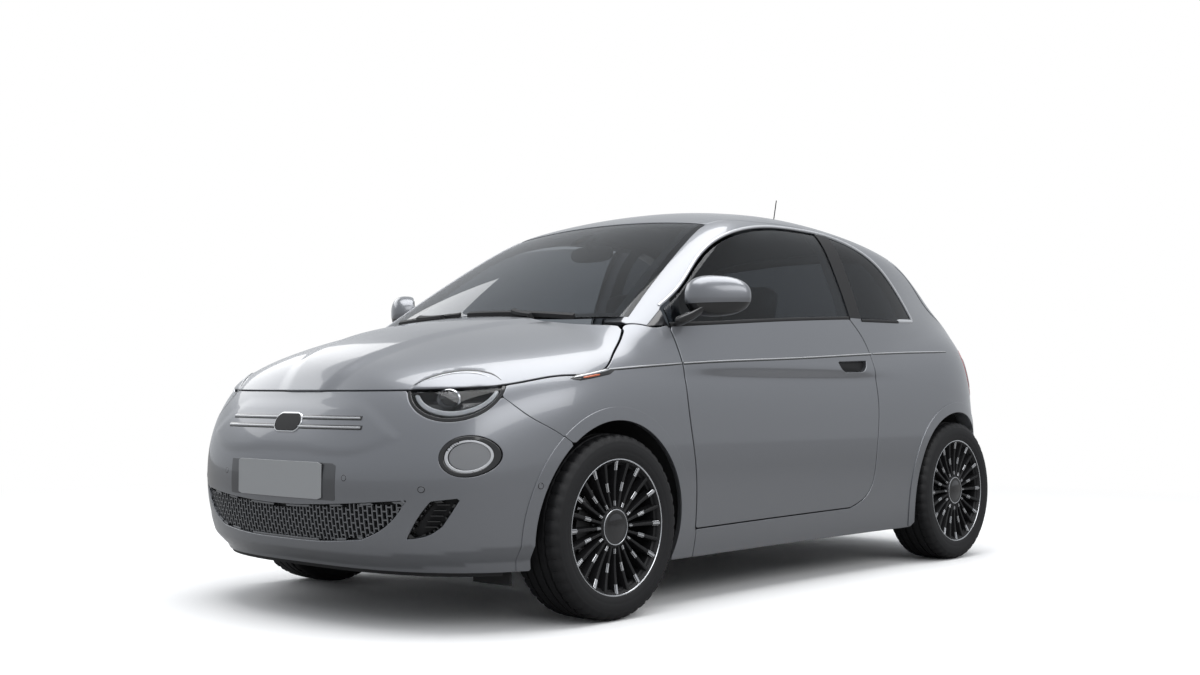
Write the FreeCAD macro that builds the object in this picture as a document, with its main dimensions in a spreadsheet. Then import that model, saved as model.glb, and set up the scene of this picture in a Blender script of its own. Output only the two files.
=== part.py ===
import FreeCAD, Part
import math
import os
import Sketcher

V3 = FreeCAD.Vector

doc = FreeCAD.newDocument("hatchback")
sheet = doc.addObject("Spreadsheet::Sheet", "Sizes")

SIZES = [
    ("car_length", 3632, "nose to tail"),
    ("body_width", 1676, "across the widest wheel arch lips"),
    ("car_height", 1527, "ground to roof"),
    ("wheelbase", 2322, "front axle to rear axle"),
    ("front_overhang", 755, "nose to front axle"),
    ("track_front", 1470, "between front tyre centres"),
    ("track_rear", 1460, "between rear tyre centres"),
    ("tyre_radius", 308, "outer radius, 205/45 R17"),
    ("tyre_width", 205, "section width"),
    ("rim_radius", 228, "flange radius"),
    ("rim_width", 190, "over the flanges"),
    ("spoke_count", 24, "spokes in one wheel"),
    ("hub_cap_radius", 59, "round cap in the wheel"),
    ("disc_radius", 128, "brake disc"),
    ("arch_radius", 352, "wheel arch lip from the wheel centre"),
    ("arch_back", 5, "arch centre lies this far behind the wheel centre"),
    ("shut_gap", 6, "gap round doors, bonnet and tailgate"),
    ("fit_gap", 0.5, "gap between fixed panels"),
    ("glass_thick", 5, "all panes"),
    ("glass_sink", 3, "panes below the skin"),
    ("roof_thick", 34, "roof with its lining"),
    ("side_thick", 64, "body side, sill and pillars"),
    ("door_outer_thick", 26, "door out to its shut line"),
    ("door_thick", 92, "door with its trim"),
    ("door_inset", 20, "inner half of the door inside its outline"),
    ("wing_thick", 14, "front wing"),
    ("bonnet_thick", 28, "bonnet with its frame"),
    ("bumper_thick", 24, "bumper covers"),
    ("tailgate_thick", 40, "tailgate with its trim"),
    ("flank_step", 7, "step of the tailgate's flange inside its flanks"),
    ("king_low_y", 672, "lower ball joint off the middle"),
    ("king_low_z", 175, "lower ball joint height"),
    ("king_top_y", 555, "strut top off the middle"),
    ("king_top_z", 800, "strut top height"),
    ("floor_z", 255, "underside of the cabin floor"),
    ("floor_thick", 18, "cabin floor"),
    ("battery_long", 1260, "battery pack length"),
    ("battery_wide", 1040, "battery pack width"),
    ("battery_high", 130, "battery pack height"),
    ("motor_long", 470, "drive unit length"),
    ("motor_wide", 620, "drive unit width"),
    ("motor_high", 380, "drive unit height"),
    ("seat_wide", 480, "front seat width"),
    ("seat_y", 345, "front seat middle off the car's middle"),
    ("seat_x", 60, "front seat cushion middle"),
    ("wheel_house_y", 440, "inner wall of the front wheel house"),
    ("rear_house_y", 600, "inner wall of the rear wheel house"),
]
for i, (alias, value, note) in enumerate(SIZES, 1):
    sheet.set("A%d" % i, note)
    sheet.set("B%d" % i, str(value))
    sheet.setAlias("B%d" % i, alias)
doc.recompute()


def size(alias):
    return float(sheet.get(alias))


NODES = {}


def node(name, obj):
    obj.Label = name
    NODES[name] = obj
    return obj


# The drawing's own numbers are in millimetres for the base car. These three
# maps carry them to the sheet's length, wheelbase, width and height.
HALF = size("car_length") / 2
AXF = HALF - size("front_overhang")
AXR = AXF - size("wheelbase")
WIDE = size("body_width") / 1676.0
HIGH = size("car_height") / 1527.0


def fx(x):
    if x >= 1061:
        return AXF + (x - 1061) * (HALF - AXF) / 755.0
    if x <= -1261:
        return AXR + (x + 1261) * (HALF + AXR) / 555.0
    return AXR + (x + 1261) * (AXF - AXR) / 2322.0


def fy(y):
    return y * WIDE


def fz(z):
    return z * HIGH


# the skin
def spline(knots, kmap, vmap):
    xs = [kmap(k) for k, v in knots]
    ys = [vmap(v) for k, v in knots]
    pairs = sorted(zip(xs, ys))
    xs = [p[0] for p in pairs]
    ys = [p[1] for p in pairs]
    n = len(xs)
    h = [xs[i + 1] - xs[i] for i in range(n - 1)]
    c = [0.0] * n
    d = [0.0] * n
    for i in range(1, n - 1):
        r = 6 * ((ys[i + 1] - ys[i]) / h[i] - (ys[i] - ys[i - 1]) / h[i - 1])
        w = 2 * (h[i - 1] + h[i]) - h[i - 1] * c[i - 1]
        c[i] = h[i] / w
        d[i] = (r - h[i - 1] * d[i - 1]) / w
    m = [0.0] * n
    for i in range(n - 2, 0, -1):
        m[i] = d[i] - c[i] * m[i + 1]
    s0 = (ys[1] - ys[0]) / h[0] - h[0] * (2 * m[0] + m[1]) / 6
    s1 = (ys[-1] - ys[-2]) / h[-1] + h[-1] * (2 * m[-1] + m[-2]) / 6

    def f(x):
        if x <= xs[0]:
            return ys[0] + s0 * (x - xs[0])
        if x >= xs[-1]:
            return ys[-1] + s1 * (x - xs[-1])
        lo, hi = 0, n - 1
        while hi - lo > 1:
            mid = (lo + hi) // 2
            if xs[mid] <= x:
                lo = mid
            else:
                hi = mid
        a = (xs[hi] - x) / h[lo]
        b = 1 - a
        return (a * ys[lo] + b * ys[hi]
                + ((a ** 3 - a) * m[lo] + (b ** 3 - b) * m[hi]) * h[lo] * h[lo] / 6)
    return f


def smax(a, b, k):
    h = max(k - abs(a - b), 0.0) / k
    return max(a, b) + h * h * h * k / 6


def smin(a, b, k):
    return -smax(-a, -b, k)


def step(a, b, x):
    t = min(max((x - a) / (b - a), 0.0), 1.0)
    return t * t * (3 - 2 * t)


nose = spline([(150, 1728), (250, 1782), (350, 1808), (450, 1816), (560, 1806), (660, 1778),
               (760, 1742), (860, 1706), (1000, 1650)], fz, fx)
tail = spline([(150, -1736), (300, -1792), (450, -1815), (550, -1815), (650, -1803), (800, -1778),
               (950, -1738), (1080, -1690), (1200, -1640)], fz, fx)
plan = spline([(-1500, 838), (-1261, 836), (-700, 816), (-100, 806), (500, 812), (1061, 832),
               (1400, 838)], fx, fy)
barrel = spline([(150, -46), (230, -26), (330, -11), (480, 0), (620, -2), (760, -10), (870, -26),
                 (940, -44), (1020, -76), (1100, -118)], fz, fy)
hood = spline([(600, 1052), (950, 1030), (1200, 990), (1400, 940), (1550, 885), (1650, 838),
               (1750, 770), (1850, 680)], fx, fz)
roofline = spline([(1150, 905), (950, 1022), (800, 1115), (600, 1236), (400, 1350), (200, 1447),
                   (0, 1503), (-250, 1527), (-600, 1519), (-900, 1488), (-1150, 1444),
                   (-1350, 1395)], fx, fz)
glass_side = spline([(1000, 730), (800, 745), (500, 758), (-100, 766), (-600, 756), (-1100, 716),
                     (-1500, 622), (-1700, 568)], fx, fy)
tumble = spline([(900, 26), (1000, 0), (1100, -32), (1200, -70), (1300, -112), (1400, -162),
                 (1480, -210)], fz, fy)
back = spline([(1500, -1215), (1400, -1292), (1240, -1465), (1080, -1650), (1000, -1712), (900, -1742),
               (800, -1752)], fz, fx)
POWER = 2.9
XF0 = fx(1061)
XR0 = fx(-1100)


def f_ring(x, y, z):
    s = plan(x) + barrel(z)
    t = 0.0
    if x > XF0:
        t = (x - XF0) / (nose(z) - XF0)
    elif x < XR0:
        t = (XR0 - x) / (XR0 - tail(z))
    return ((abs(y) / s) ** POWER + t ** POWER) ** (1 / POWER) - 1.0


def f_hood(x, y, z):
    return z - (hood(x) - fz(120) * (abs(y) / fy(750)) ** 2.4)


def f_glass(x, y, z):
    return abs(y) - (glass_side(x) + tumble(z))


def f_roof(x, y, z):
    w = step(-150, 350, x)
    xx = x + w * 120 * (y / fy(660)) ** 2
    return z - (roofline(xx) - (1 - w) * fz(62) * (abs(y) / fy(560)) ** 2.2)


def f_back(x, y, z):
    return back(z) + 100 * (y / fy(600)) ** 2 - x


def norm(f, x, y, z):
    v = f(x, y, z)
    gx, gy, gz = f(x + 1, y, z) - v, f(x, y + 1, z) - v, f(x, y, z + 1) - v
    return v / math.sqrt(gx * gx + gy * gy + gz * gz + 1e-18)


def low(x, y, z):
    return smax(norm(f_ring, x, y, z), norm(f_hood, x, y, z), 190)


def up(x, y, z):
    a = smax(norm(f_glass, x, y, z), norm(f_roof, x, y, z), 130)
    a = smax(a, norm(f_back, x, y, z), 60)
    return smax(a, fz(820) - z, 60)


def skin(x, y, z):
    return smin(low(x, y, z), up(x, y, z), 30 + 110 * step(-900, -1400, x))


def shoot(o, d, far, level=0.0):
    t = far
    for i in range(70):
        q = skin(o[0] + d[0] * t, o[1] + d[1] * t, o[2] + d[2] * t) - level
        t -= q
        if abs(q) < 0.02:
            break
    return V3(o[0] + d[0] * t, o[1] + d[1] * t, o[2] + d[2] * t)


# ray families
BEND = 600.0
X1 = fx(950)
X2 = fx(-1000)


def around(s, tilt=0.0, z0=0.0):
    """A ray that leaves the middle at s along the car, turned at both ends."""
    a = math.pi / 2
    x = s
    if s > X1:
        turn = min((s - X1) / BEND, math.pi)
        a -= turn
        x = X1 - (s - X1 - BEND * turn)
    elif s < X2:
        turn = min((X2 - s) / BEND, math.pi)
        a += turn
        x = X2 + (X2 - s - BEND * turn)
    return (x, 0.0, z0), (math.cos(tilt) * math.cos(a), math.cos(tilt) * math.sin(a), math.sin(tilt))


def wall_ray(s, z):
    o, d = around(s, 0.0, z)
    return o, d, 1150.0


def side_ray(s, deg):
    o, d = around(s, math.radians(deg), fz(700))
    return o, d, 1250.0


def top_ray(x, y):
    return (x, y, fz(500)), (0.0, 0.0, 1.0), 1150.0


def hood_ray(az, el):
    a, e = math.radians(az), math.radians(el)
    return (fx(750), 0.0, fz(450)), (math.cos(e) * math.cos(a), math.cos(e) * math.sin(a),
                                     math.sin(e)), 1350.0


def tail_ray(az, el):
    a, e = math.radians(az), math.radians(el)
    return (fx(-600), 0.0, fz(800)), (-math.cos(e) * math.cos(a), math.cos(e) * math.sin(a),
                                      math.sin(e)), 1300.0


def lin(a, b, n):
    return [a + (b - a) * i / (n - 1.0) for i in range(n)]


def slab(ray, us, vs, deep, shallow=0.0):
    """A solid between two depths under the skin, over a grid of rays."""
    outer = [[shoot(*ray(u, v), level=-shallow) for v in vs] for u in us]
    inner = [[shoot(*ray(u, v), level=-deep) for v in vs] for u in us]
    so = Part.BSplineSurface()
    so.interpolate(outer)
    si = Part.BSplineSurface()
    si.interpolate(inner)
    fo, fi = so.toShape(), si.toShape()
    u0, u1, v0, v1 = so.bounds()
    w0, w1, t0, t1 = si.bounds()
    sides = []
    for a, b in ((so.uIso(u0), si.uIso(w0)), (so.uIso(u1), si.uIso(w1)),
                 (so.vIso(v0), si.vIso(t0)), (so.vIso(v1), si.vIso(t1))):
        sides.append(Part.makeRuledSurface(a.toShape(), b.toShape()))
    shell = Part.Shell([fo, fi] + sides)
    shell.sewShape()
    solid = Part.Solid(shell)
    if solid.Volume < 0:
        solid.reverse()
    return solid


# outlines
def wire(runs, place):
    """Runs of points make a closed outline: two points a line, more a curve."""
    edges = []
    for run in runs:
        pts = [place(*p) for p in run]
        if len(pts) == 2:
            edges.append(Part.LineSegment(pts[0], pts[1]).toShape())
        else:
            c = Part.BSplineCurve()
            c.interpolate(pts)
            edges.append(c.toShape())
    return Part.Wire(Part.sortEdges(edges)[0])


def side_place(x, z):
    return V3(fx(x), 0, fz(z))


def top_place(x, y):
    return V3(fx(x), fy(y), 0)


def front_place(y, z):
    return V3(0, fy(y), fz(z))


def grown(runs, g):
    """The same runs moved outward by g, with mitred corners."""
    if not g:
        return runs
    pts = []
    for run in runs:
        pts += run[:-1]
    n = len(pts)
    area = sum(pts[i][0] * pts[(i + 1) % n][1] - pts[(i + 1) % n][0] * pts[i][1] for i in range(n))
    turn = 1.0 if area > 0 else -1.0
    out = []
    for i in range(n):
        p, c, q = pts[i - 1], pts[i], pts[(i + 1) % n]
        ax, ay, bx, by = c[0] - p[0], c[1] - p[1], q[0] - c[0], q[1] - c[1]
        la, lb = math.hypot(ax, ay), math.hypot(bx, by)
        nx, ny = ay / la + by / lb, -ax / la - bx / lb
        k = g * turn * 2 / max(nx * nx + ny * ny, 0.8)
        out.append((c[0] + nx * k, c[1] + ny * k))
    moved, i = [], 0
    for run in runs:
        m = len(run) - 1
        moved.append([out[(i + j) % n] for j in range(m + 1)])
        i += m
    return moved


def side_prism(runs, grow=0.0, y0=0.0, y1=1100.0):
    f = Part.Face(wire(grown(runs, grow), side_place))
    f.translate(V3(0, y0, 0))
    return f.extrude(V3(0, y1 - y0, 0))


def top_prism(runs, grow=0.0, z0=0.0, z1=1700.0):
    f = Part.Face(wire(grown(runs, grow), top_place))
    f.translate(V3(0, 0, z0))
    return f.extrude(V3(0, 0, z1 - z0))


def front_prism(runs, grow=0.0, x0=900.0, x1=2000.0):
    f = Part.Face(wire(grown(runs, grow), front_place))
    f.translate(V3(x0, 0, 0))
    return f.extrude(V3(x1 - x0, 0, 0))


def close(*runs):
    """Joins runs end to end and closes them."""
    out = []
    for i, r in enumerate(runs):
        nxt = runs[(i + 1) % len(runs)][0]
        out.append(list(r))
        if abs(r[-1][0] - nxt[0]) + abs(r[-1][1] - nxt[1]) > 1e-6:
            out.append([r[-1], nxt])
    return out


def biggest(shape):
    s = sorted(shape.Solids, key=lambda q: q.Volume)
    return s[-1]


def mirrored(shape):
    return shape.mirror(V3(0, 0, 0), V3(0, 1, 0))


def feature(name, shape):
    o = doc.addObject("Part::Feature", name)
    o.Shape = shape
    return node(name, o)


def both(name, shape):
    feature(name, Part.Compound([shape, mirrored(shape)]))


def pair(name, shape):
    feature(name + "_left", shape)
    feature(name + "_right", mirrored(shape))


G = size("shut_gap")
FIT = size("fit_gap")

# Shut lines and edges in the side view, read off the photograph.
door_front = [(604, 271), (627, 513), (661, 726), (672, 895), (697, 985)]
door_rear = [(-499, 1056), (-583, 950), (-612, 803), (-618, 677), (-591, 490), (-550, 345), (-419, 282)]
belt = [(697, 985), (532, 995), (28, 1028), (-499, 1056)]
wing_line = [(1495, 742), (1431, 679), (1348, 634), (1277, 592)]
door_outline = close(door_front, belt, door_rear, [(-419, 282), (604, 271)])

# plan and front outlines
def hood_rear(y):
    return 985 - 104 * (y / 680.0) ** 2


def glass_foot(y):
    return 944 - 108 * (y / 640.0) ** 2


def header(y):
    return 202 - 12 * (y / 512.0) ** 2


def sweep(f, y0, y1, n=7):
    return [(f(y), y) for y in lin(y0, y1, n)]


SHIELD_SIDE = [(826, 668), (671, 627), (424, 568), (190, 512)]
shield = close(sweep(glass_foot, -668, 668), [(SHIELD_SIDE[i][0], SHIELD_SIDE[i][1]) for i in range(4)],
               sweep(header, 512, -512), [(x, -y) for x, y in reversed(SHIELD_SIDE)])
roof_rear = -1162
roof_side = [(190, 520), (0, 535), (-400, 545), (-800, 540), (-1162, 522)]
roof_outline = close(sweep(lambda y: header(y) - 1, -520, 520), roof_side,
                     [(x, -y) for x, y in reversed(roof_side)])

pillar_in = [(1000, 700), (826, 654), (671, 613), (424, 554), (190, 520)]
top_room = close([(1000, -700), (1000, 700)], pillar_in, roof_side, [(-1162, 522), (-1400, 510)],
                 [(-1400, 510), (-1400, -510)], [(-1400, -510), (-1162, -522)],
                 [(x, -y) for x, y in reversed(roof_side)], [(x, -y) for x, y in reversed(pillar_in)])

LAMP_DIR = math.radians(30)


def lamp_place(u, z):
    """The head lamp's outline lies square to a line 30 degrees off straight ahead."""
    c, s = math.cos(LAMP_DIR), math.sin(LAMP_DIR)
    return V3(fx(1600) + (-s) * (u - LAMP_U0), fy(600) + c * (u - LAMP_U0), fz(z))


LAMP_U0 = 600 * math.cos(LAMP_DIR) - 1600 * math.sin(LAMP_DIR)
LAMP_U, LAMP_Z, LAMP_A, LAMP_B = -267.5, 772.0, 156.0, 110.0


def lamp_prism(grow=0.0, long=420.0):
    c, s = math.cos(LAMP_DIR), math.sin(LAMP_DIR)
    pts = []
    for i in range(24):
        t = 2 * math.pi * i / 24
        pts.append(lamp_place(LAMP_U + (LAMP_A + grow) * math.cos(t),
                              LAMP_Z + (LAMP_B + grow) * math.sin(t)))
    curve = Part.BSplineCurve()
    curve.interpolate(pts, PeriodicFlag=True)
    f = Part.Face(Part.Wire(curve.toShape()))
    f.translate(V3(-c * long / 2, -s * long / 2, 0))
    return f.extrude(V3(c * long, s * long, 0))


def round_front(y, z, r, x0=1300.0, x1=1900.0):
    return Part.makeCylinder(r, x1 - x0, V3(fx(x0), fy(y), fz(z)), V3(1, 0, 0))


HUB = size("tyre_radius")
ARCH = size("arch_radius")


def arch_cut(ax, r, y0=0.0, y1=1100.0):
    return Part.makeCylinder(r, y1 - y0, V3(ax - size("arch_back"), y0, HUB), V3(0, 1, 0))


# outlines of the parts
WHY, RHY = size("wheel_house_y"), size("rear_house_y")
FLOOR_BOOT = fz(470)
BT = size("bumper_thick")
WT = size("wing_thick")
GS = size("glass_sink")
GT = size("glass_thick")


def flip(points):
    return [(-y, z) for y, z in reversed(points)]


tailgate_side = [(540, 592), (553, 700), (560, 850), (574, 960), (598, 1060), (600, 1150), (562, 1330),
                 (520, 1480)]
tailgate_outline = close(tailgate_side, [(520, 1560), (-520, 1560)], flip(tailgate_side))
rear_glass_side = [(520, 1075), (535, 1120), (520, 1230), (455, 1385)]
rear_glass_outline = close([(-520, 1075), (0, 1062), (520, 1075)], rear_glass_side,
                           [(455, 1385), (0, 1408), (-455, 1385)], flip(rear_glass_side))
wing_top = [(892, 969), (942, 925), (1009, 879), (1080, 834), (1283, 809), (1470, 779)]
wing_outline = close([(892, 969), (866, 987), (772, 980), (714, 989)], door_front[::-1],
                     [(604, 271), (598, 166)],
                     [(598, 166), (800, 166)], [(800, 166), (1061, 300)], [(1061, 300), (1240, 560)],
                     wing_line[::-1], [(1495, 742), (1520, 775)], [(1520, 775), (1470, 779)],
                     wing_top[::-1])
bumper_outline = close([(1470, 779), (1577, 767)], [(1577, 767), (1640, 763), (1900, 761)],
                       [(1900, 761), (1900, 60)],
                       [(1900, 60), (1200, 60)], [(1200, 60), (1061, 300)], [(1061, 300), (1240, 560)],
                       wing_line[::-1], [(1495, 742), (1470, 779)])
hood_outline = close(wing_top + [(1577, 767)], [(1577, 767), (1640, 763), (1900, 761)],
                     [(1900, 761), (1900, 1300)],
                     [(1900, 1300), (700, 1300)], [(700, 1300), (892, 969)])
silhouette = close([(-2000, 586), (-1640, 586)], [(-1640, 586), (-1500, 554), (-1420, 494)],
                   [(-1420, 500), (-1261, 400)], [(-1261, 400), (-905, 165)],
                   [(-905, 165), (640, 165)], [(640, 165), (640, 560)], [(640, 560), (690, 700), (790,
                                                                                                  850),
                                                                                                  (852,
                                                                                                   985)],
                   [(852, 985), (900, 1060)], [(900, 1060), (700, 1600)], [(700, 1600), (-2000, 1600)],
                   [(-2000, 1600), (-2000, 592)])
rear_bumper_outline = close([(-2000, 586), (-1640, 586)], [(-1640, 586), (-1500, 554), (-1420, 494)],
                            [(-1420, 494), (-1261, 400)], [(-1261, 400), (-1400, 60)],
                            [(-1400, 60), (-2000, 60)],
                            [(-2000, 60), (-2000, 586)])
grille_half = [(0, 388), (355, 404), (548, 419), (517, 375), (460, 326), (377, 290), (193, 275), (0, 273)]
grille_outline = close([(-548, 419), (-355, 404), (0, 388), (355, 404), (548, 419)], grille_half[2:6],
                       [(377, 290), (193, 275), (0, 273), (-193, 275), (-377, 290)], flip(grille_half[2:6]))
vent_outline = close([(616, 417), (687, 427)], [(687, 427), (662, 378), (639, 340)],
                     [(639, 340), (606, 315), (537, 298)],
                     [(537, 298), (556, 330), (586, 377), (616, 417)])
front_glass_outline = close([(700, 990), (700, 1053)], [(700, 1053), (577, 1124), (399, 1249),
                                                        (248, 1330), (38, 1392),
                            (-202, 1423), (-392, 1427), (-524, 1425)], [(-524, 1425), (-510, 1064)],
                            [(-510, 1064), (28, 1034), (532, 1001), (700, 990)])
triangle_outline = close([(707, 991), (707, 1049)], [(707, 1049), (800, 985)], [(800, 985), (707, 991)])
quarter_glass_outline = close([(-606, 1421), (-819, 1367), (-936, 1297), (-1027, 1188), (-1095, 1070)],
                              [(-1095, 1070), (-594, 1066)], [(-594, 1066), (-606, 1421)])


# plain solids from sketches
def value(text):
    return float(sheet.evalExpression(str(text)))


def bind(obj, prop, text):
    if isinstance(text, str):
        obj.setExpression(prop, text)
    else:
        setattr(obj, prop, text)


def place(obj, x, y, z):
    for axis, text in (("x", x), ("y", y), ("z", z)):
        if text:
            obj.setExpression("Placement.Base." + axis, str(text))


def sketch(body, role, points, label="Outline"):
    """A closed sketch whose corners are all tied to the sheet."""
    sk = body.newObject("Sketcher::SketchObject", label)
    plane = [f for f in body.Origin.OriginFeatures if f.Role == role][0]
    sk.AttachmentSupport = [(plane, "")]
    sk.MapMode = "FlatFace"
    vals = [(value(a), value(b)) for a, b in points]
    n = len(points)
    for i in range(n):
        a, b = vals[i], vals[(i + 1) % n]
        sk.addGeometry(Part.LineSegment(V3(a[0], a[1], 0), V3(b[0], b[1], 0)), False)
    for i in range(n):
        sk.addConstraint(Sketcher.Constraint("Coincident", i, 2, (i + 1) % n, 1))
    for i in range(n):
        for kind, axis, text, v in (("DistanceX", -2, points[i][0], vals[i][0]),
                                    ("DistanceY", -1, points[i][1], vals[i][1])):
            if v == 0:
                sk.addConstraint(Sketcher.Constraint("PointOnObject", i, 1, axis))
            else:
                c = sk.addConstraint(Sketcher.Constraint(kind, -1, 1, i, 1, v))
                if isinstance(text, str):
                    sk.setExpression("Constraints[%d]" % c, text)
    return sk


def turned(name, points):
    """A body turned about its own Y axis; points are (along the axle, radius)."""
    body = doc.addObject("PartDesign::Body", name)
    sk = sketch(body, "YZ_Plane", points)
    rev = body.newObject("PartDesign::Revolution", "Turned")
    rev.Profile = sk
    rev.ReferenceAxis = (sk, ["H_Axis"])
    rev.Angle = 360
    return body


def padded(name, role, points, length, middle=True):
    body = doc.addObject("PartDesign::Body", name)
    sk = sketch(body, role, points)
    pad = body.newObject("PartDesign::Pad", "Padded")
    pad.Profile = sk
    bind(pad, "Length", length)
    pad.Midplane = middle
    return body


def box(x0, x1, y0, y1, z0, z1):
    return Part.makeBox(x1 - x0, y1 - y0, z1 - z0, V3(x0, y0, z0))


def rod(a, b, r):
    a, b = V3(*a), V3(*b)
    return Part.makeCylinder(r, (b - a).Length, a, b - a)


def prism_y(points, y0, y1):
    f = Part.Face(Part.makePolygon([V3(x, y0, z) for x, z in points + points[:1]]))
    return f.extrude(V3(0, y1 - y0, 0))


def prism_z(points, z0, z1):
    f = Part.Face(Part.makePolygon([V3(x, y, z0) for x, y in points + points[:1]]))
    return f.extrude(V3(0, 0, z1 - z0))


# tail lamps and rear details
TAIL_DIR = math.radians(140)
TAIL_U, TAIL_Z, TAIL_A, TAIL_B = 0.0, 840.0, 105.0, 112.0


def tail_lamp_prism(grow=0.0):
    c, s = math.cos(TAIL_DIR), math.sin(TAIL_DIR)
    pts = []
    for i in range(24):
        t = 2 * math.pi * i / 24
        cu, cv = math.cos(t), math.sin(t)
        u = TAIL_U + (TAIL_A + grow) * math.copysign(abs(cu) ** 0.7, cu)
        z = TAIL_Z + (TAIL_B + grow) * math.copysign(abs(cv) ** 0.7, cv)
        pts.append(V3(fx(-1560) + s * u, fy(700) - c * u, fz(z)))
    curve = Part.BSplineCurve()
    curve.interpolate(pts, PeriodicFlag=True)
    f = Part.Face(Part.Wire(curve.toShape()))
    f.translate(V3(-c * 200, -s * 200, 0))
    return f.extrude(V3(c * 400, s * 400, 0))


# body sides
side = slab(side_ray, lin(fx(905), fx(-1000) - BEND * 1.0, 40), lin(-42, 62, 28), size("side_thick"))
side = side.common(side_prism(silhouette))
side = side.cut(top_prism(top_room, FIT, fz(950)))
side = side.cut(side_prism(door_outline, G))
side = side.cut(side_prism(front_glass_outline, G))
pane_zone = slab(side_ray, lin(fx(905), fx(-1250), 26), lin(8, 60, 14), GS + GT + 0.3, -6.0)
side = side.cut(pane_zone.common(side_prism(quarter_glass_outline, 2)))
side = side.cut(side_prism(quarter_glass_outline, -12))
shield_us, shield_vs = lin(fx(150), fx(930), 16), lin(-fy(690), fy(690), 19)
shield_slab = slab(top_ray, shield_us, shield_vs, GS + GT, GS)
shield_zone = slab(top_ray, shield_us, shield_vs, GS + GT + 0.3, -6.0)
side = side.cut(shield_zone.common(top_prism(shield, 2, 900)))
tail_room = front_prism(tailgate_outline, G, fx(-2000), fx(roof_rear))
side = side.cut(tail_room)
wing_us, wing_vs = lin(fx(560), fx(1600), 28), lin(-42, 27, 24)
wing_zone = slab(side_ray, wing_us, wing_vs, WT + FIT, -8.0)
side = side.cut(wing_zone.common(side_prism(wing_outline, FIT)))
side = side.cut(arch_cut(AXR, ARCH)).cut(tail_lamp_prism(0.4))
side = side.cut(slab(side_ray, lin(fx(690), fx(830), 6), lin(12, 28, 6), 16.4,
                     -6).common(side_prism(triangle_outline, 0.4)))
pads_under = box(fx(430), fx(490), 715, 755, 160, 176).fuse(box(fx(-880), fx(-820), 722, 762, 160, 176))
pair("side_frame", biggest(side.fuse(pads_under)))

roof = slab(top_ray, lin(fx(-1200), fx(240), 18), lin(-fy(570), fy(570), 17), size("roof_thick"))
roof = roof.common(top_prism(roof_outline))
roof = roof.cut(shield_zone.common(top_prism(shield, 2, 900)))
feature("roof_panel", biggest(roof))

feature("windscreen", biggest(shield_slab.common(top_prism(shield, 0, 900))))
q = slab(side_ray, lin(fx(-560), fx(-1250), 16), lin(8, 60, 14), GS + GT, GS)
both("quarter_glass", biggest(q.common(side_prism(quarter_glass_outline))))
triangle_grid = (lin(fx(690), fx(830), 6), lin(12, 28, 6))
both("window_triangles", biggest(slab(side_ray, triangle_grid[0], triangle_grid[1], 16, 2).common(
    side_prism(triangle_outline))))

# doors
DO, DT, DI = size("door_outer_thick"), size("door_thick"), size("door_inset")
grid = (lin(fx(740), fx(-680), 24), lin(-42, 30, 18))
inner_limit = side_prism(close([(600, 100), (600, 1200)], [(600, 1200), (-900, 1200)],
                               [(-900, 1200), (-900, 100)],
                               [(-900, 100), (600, 100)]))
door = slab(side_ray, grid[0], grid[1], DO).common(side_prism(door_outline))
trim = slab(side_ray, grid[0], grid[1], DT, DO - 0.5).common(side_prism(door_outline,
                                                                        -DI)).common(inner_limit)
door = door.fuse(trim)
# a slot in the sill of the window takes the pane, and a pocket takes the flush pull
pane_grid = (lin(fx(740), fx(-560), 20), lin(8, 58, 16))
pane_slot = slab(side_ray, pane_grid[0], pane_grid[1], GS + GT + 4, -6)
drop = close([(692, 960), (699, 1060)], [(699, 1060), (-522, 1080)], [(-522, 1080), (-510, 1000)],
             [(-510, 1000), (692, 960)])
door = door.cut(pane_slot.common(side_prism(drop)))
pull = close([(-330, 876), (-553, 883)], [(-553, 883), (-540, 850), (-510, 835)],
             [(-510, 835), (-385, 832)],
             [(-385, 832), (-350, 848), (-330, 876)])
door = door.cut(slab(side_ray, grid[0], grid[1], 18, -6).common(side_prism(pull)))
pair("door", biggest(door))
pane = slab(side_ray, pane_grid[0], pane_grid[1], GS + GT, GS)
pane_outline = close([(688, 960.2), (690, 1050)], [(690, 1050), (577, 1118), (399, 1242), (248, 1323),
                                                   (38, 1385),
                     (-202, 1416), (-392, 1420), (-516, 1418)], [(-516, 1418), (-506, 1000)],
                     [(-506, 1000), (688, 960.2)])
pair("door_glass", biggest(pane.common(side_prism(pane_outline))))

# front end
hood_slab = slab(hood_ray, lin(-88, 88, 34), lin(8, 70, 20), size("bonnet_thick"))
rear_edge = close(sweep(hood_rear, -860, 860), [(hood_rear(860), 860), (2000, 900)],
                  [(2000, 900), (2000, -900)],
                  [(2000, -900), (hood_rear(860), -860)])
hood_solid = hood_slab.common(side_prism(hood_outline, 0, -1100, 1100)).common(top_prism(rear_edge, 0, 600))
feature("bonnet", biggest(hood_solid))
hood_room = side_prism(hood_outline, G, -1100, 1100)

wing = slab(side_ray, wing_us, wing_vs, WT)
wing = wing.common(side_prism(wing_outline))
wing = wing.cut(side_prism(door_outline, G + 1)).cut(hood_room).cut(arch_cut(AXF,
                                                                             ARCH)).cut(lamp_prism(FIT))
pair("front_wing", biggest(wing))

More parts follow.
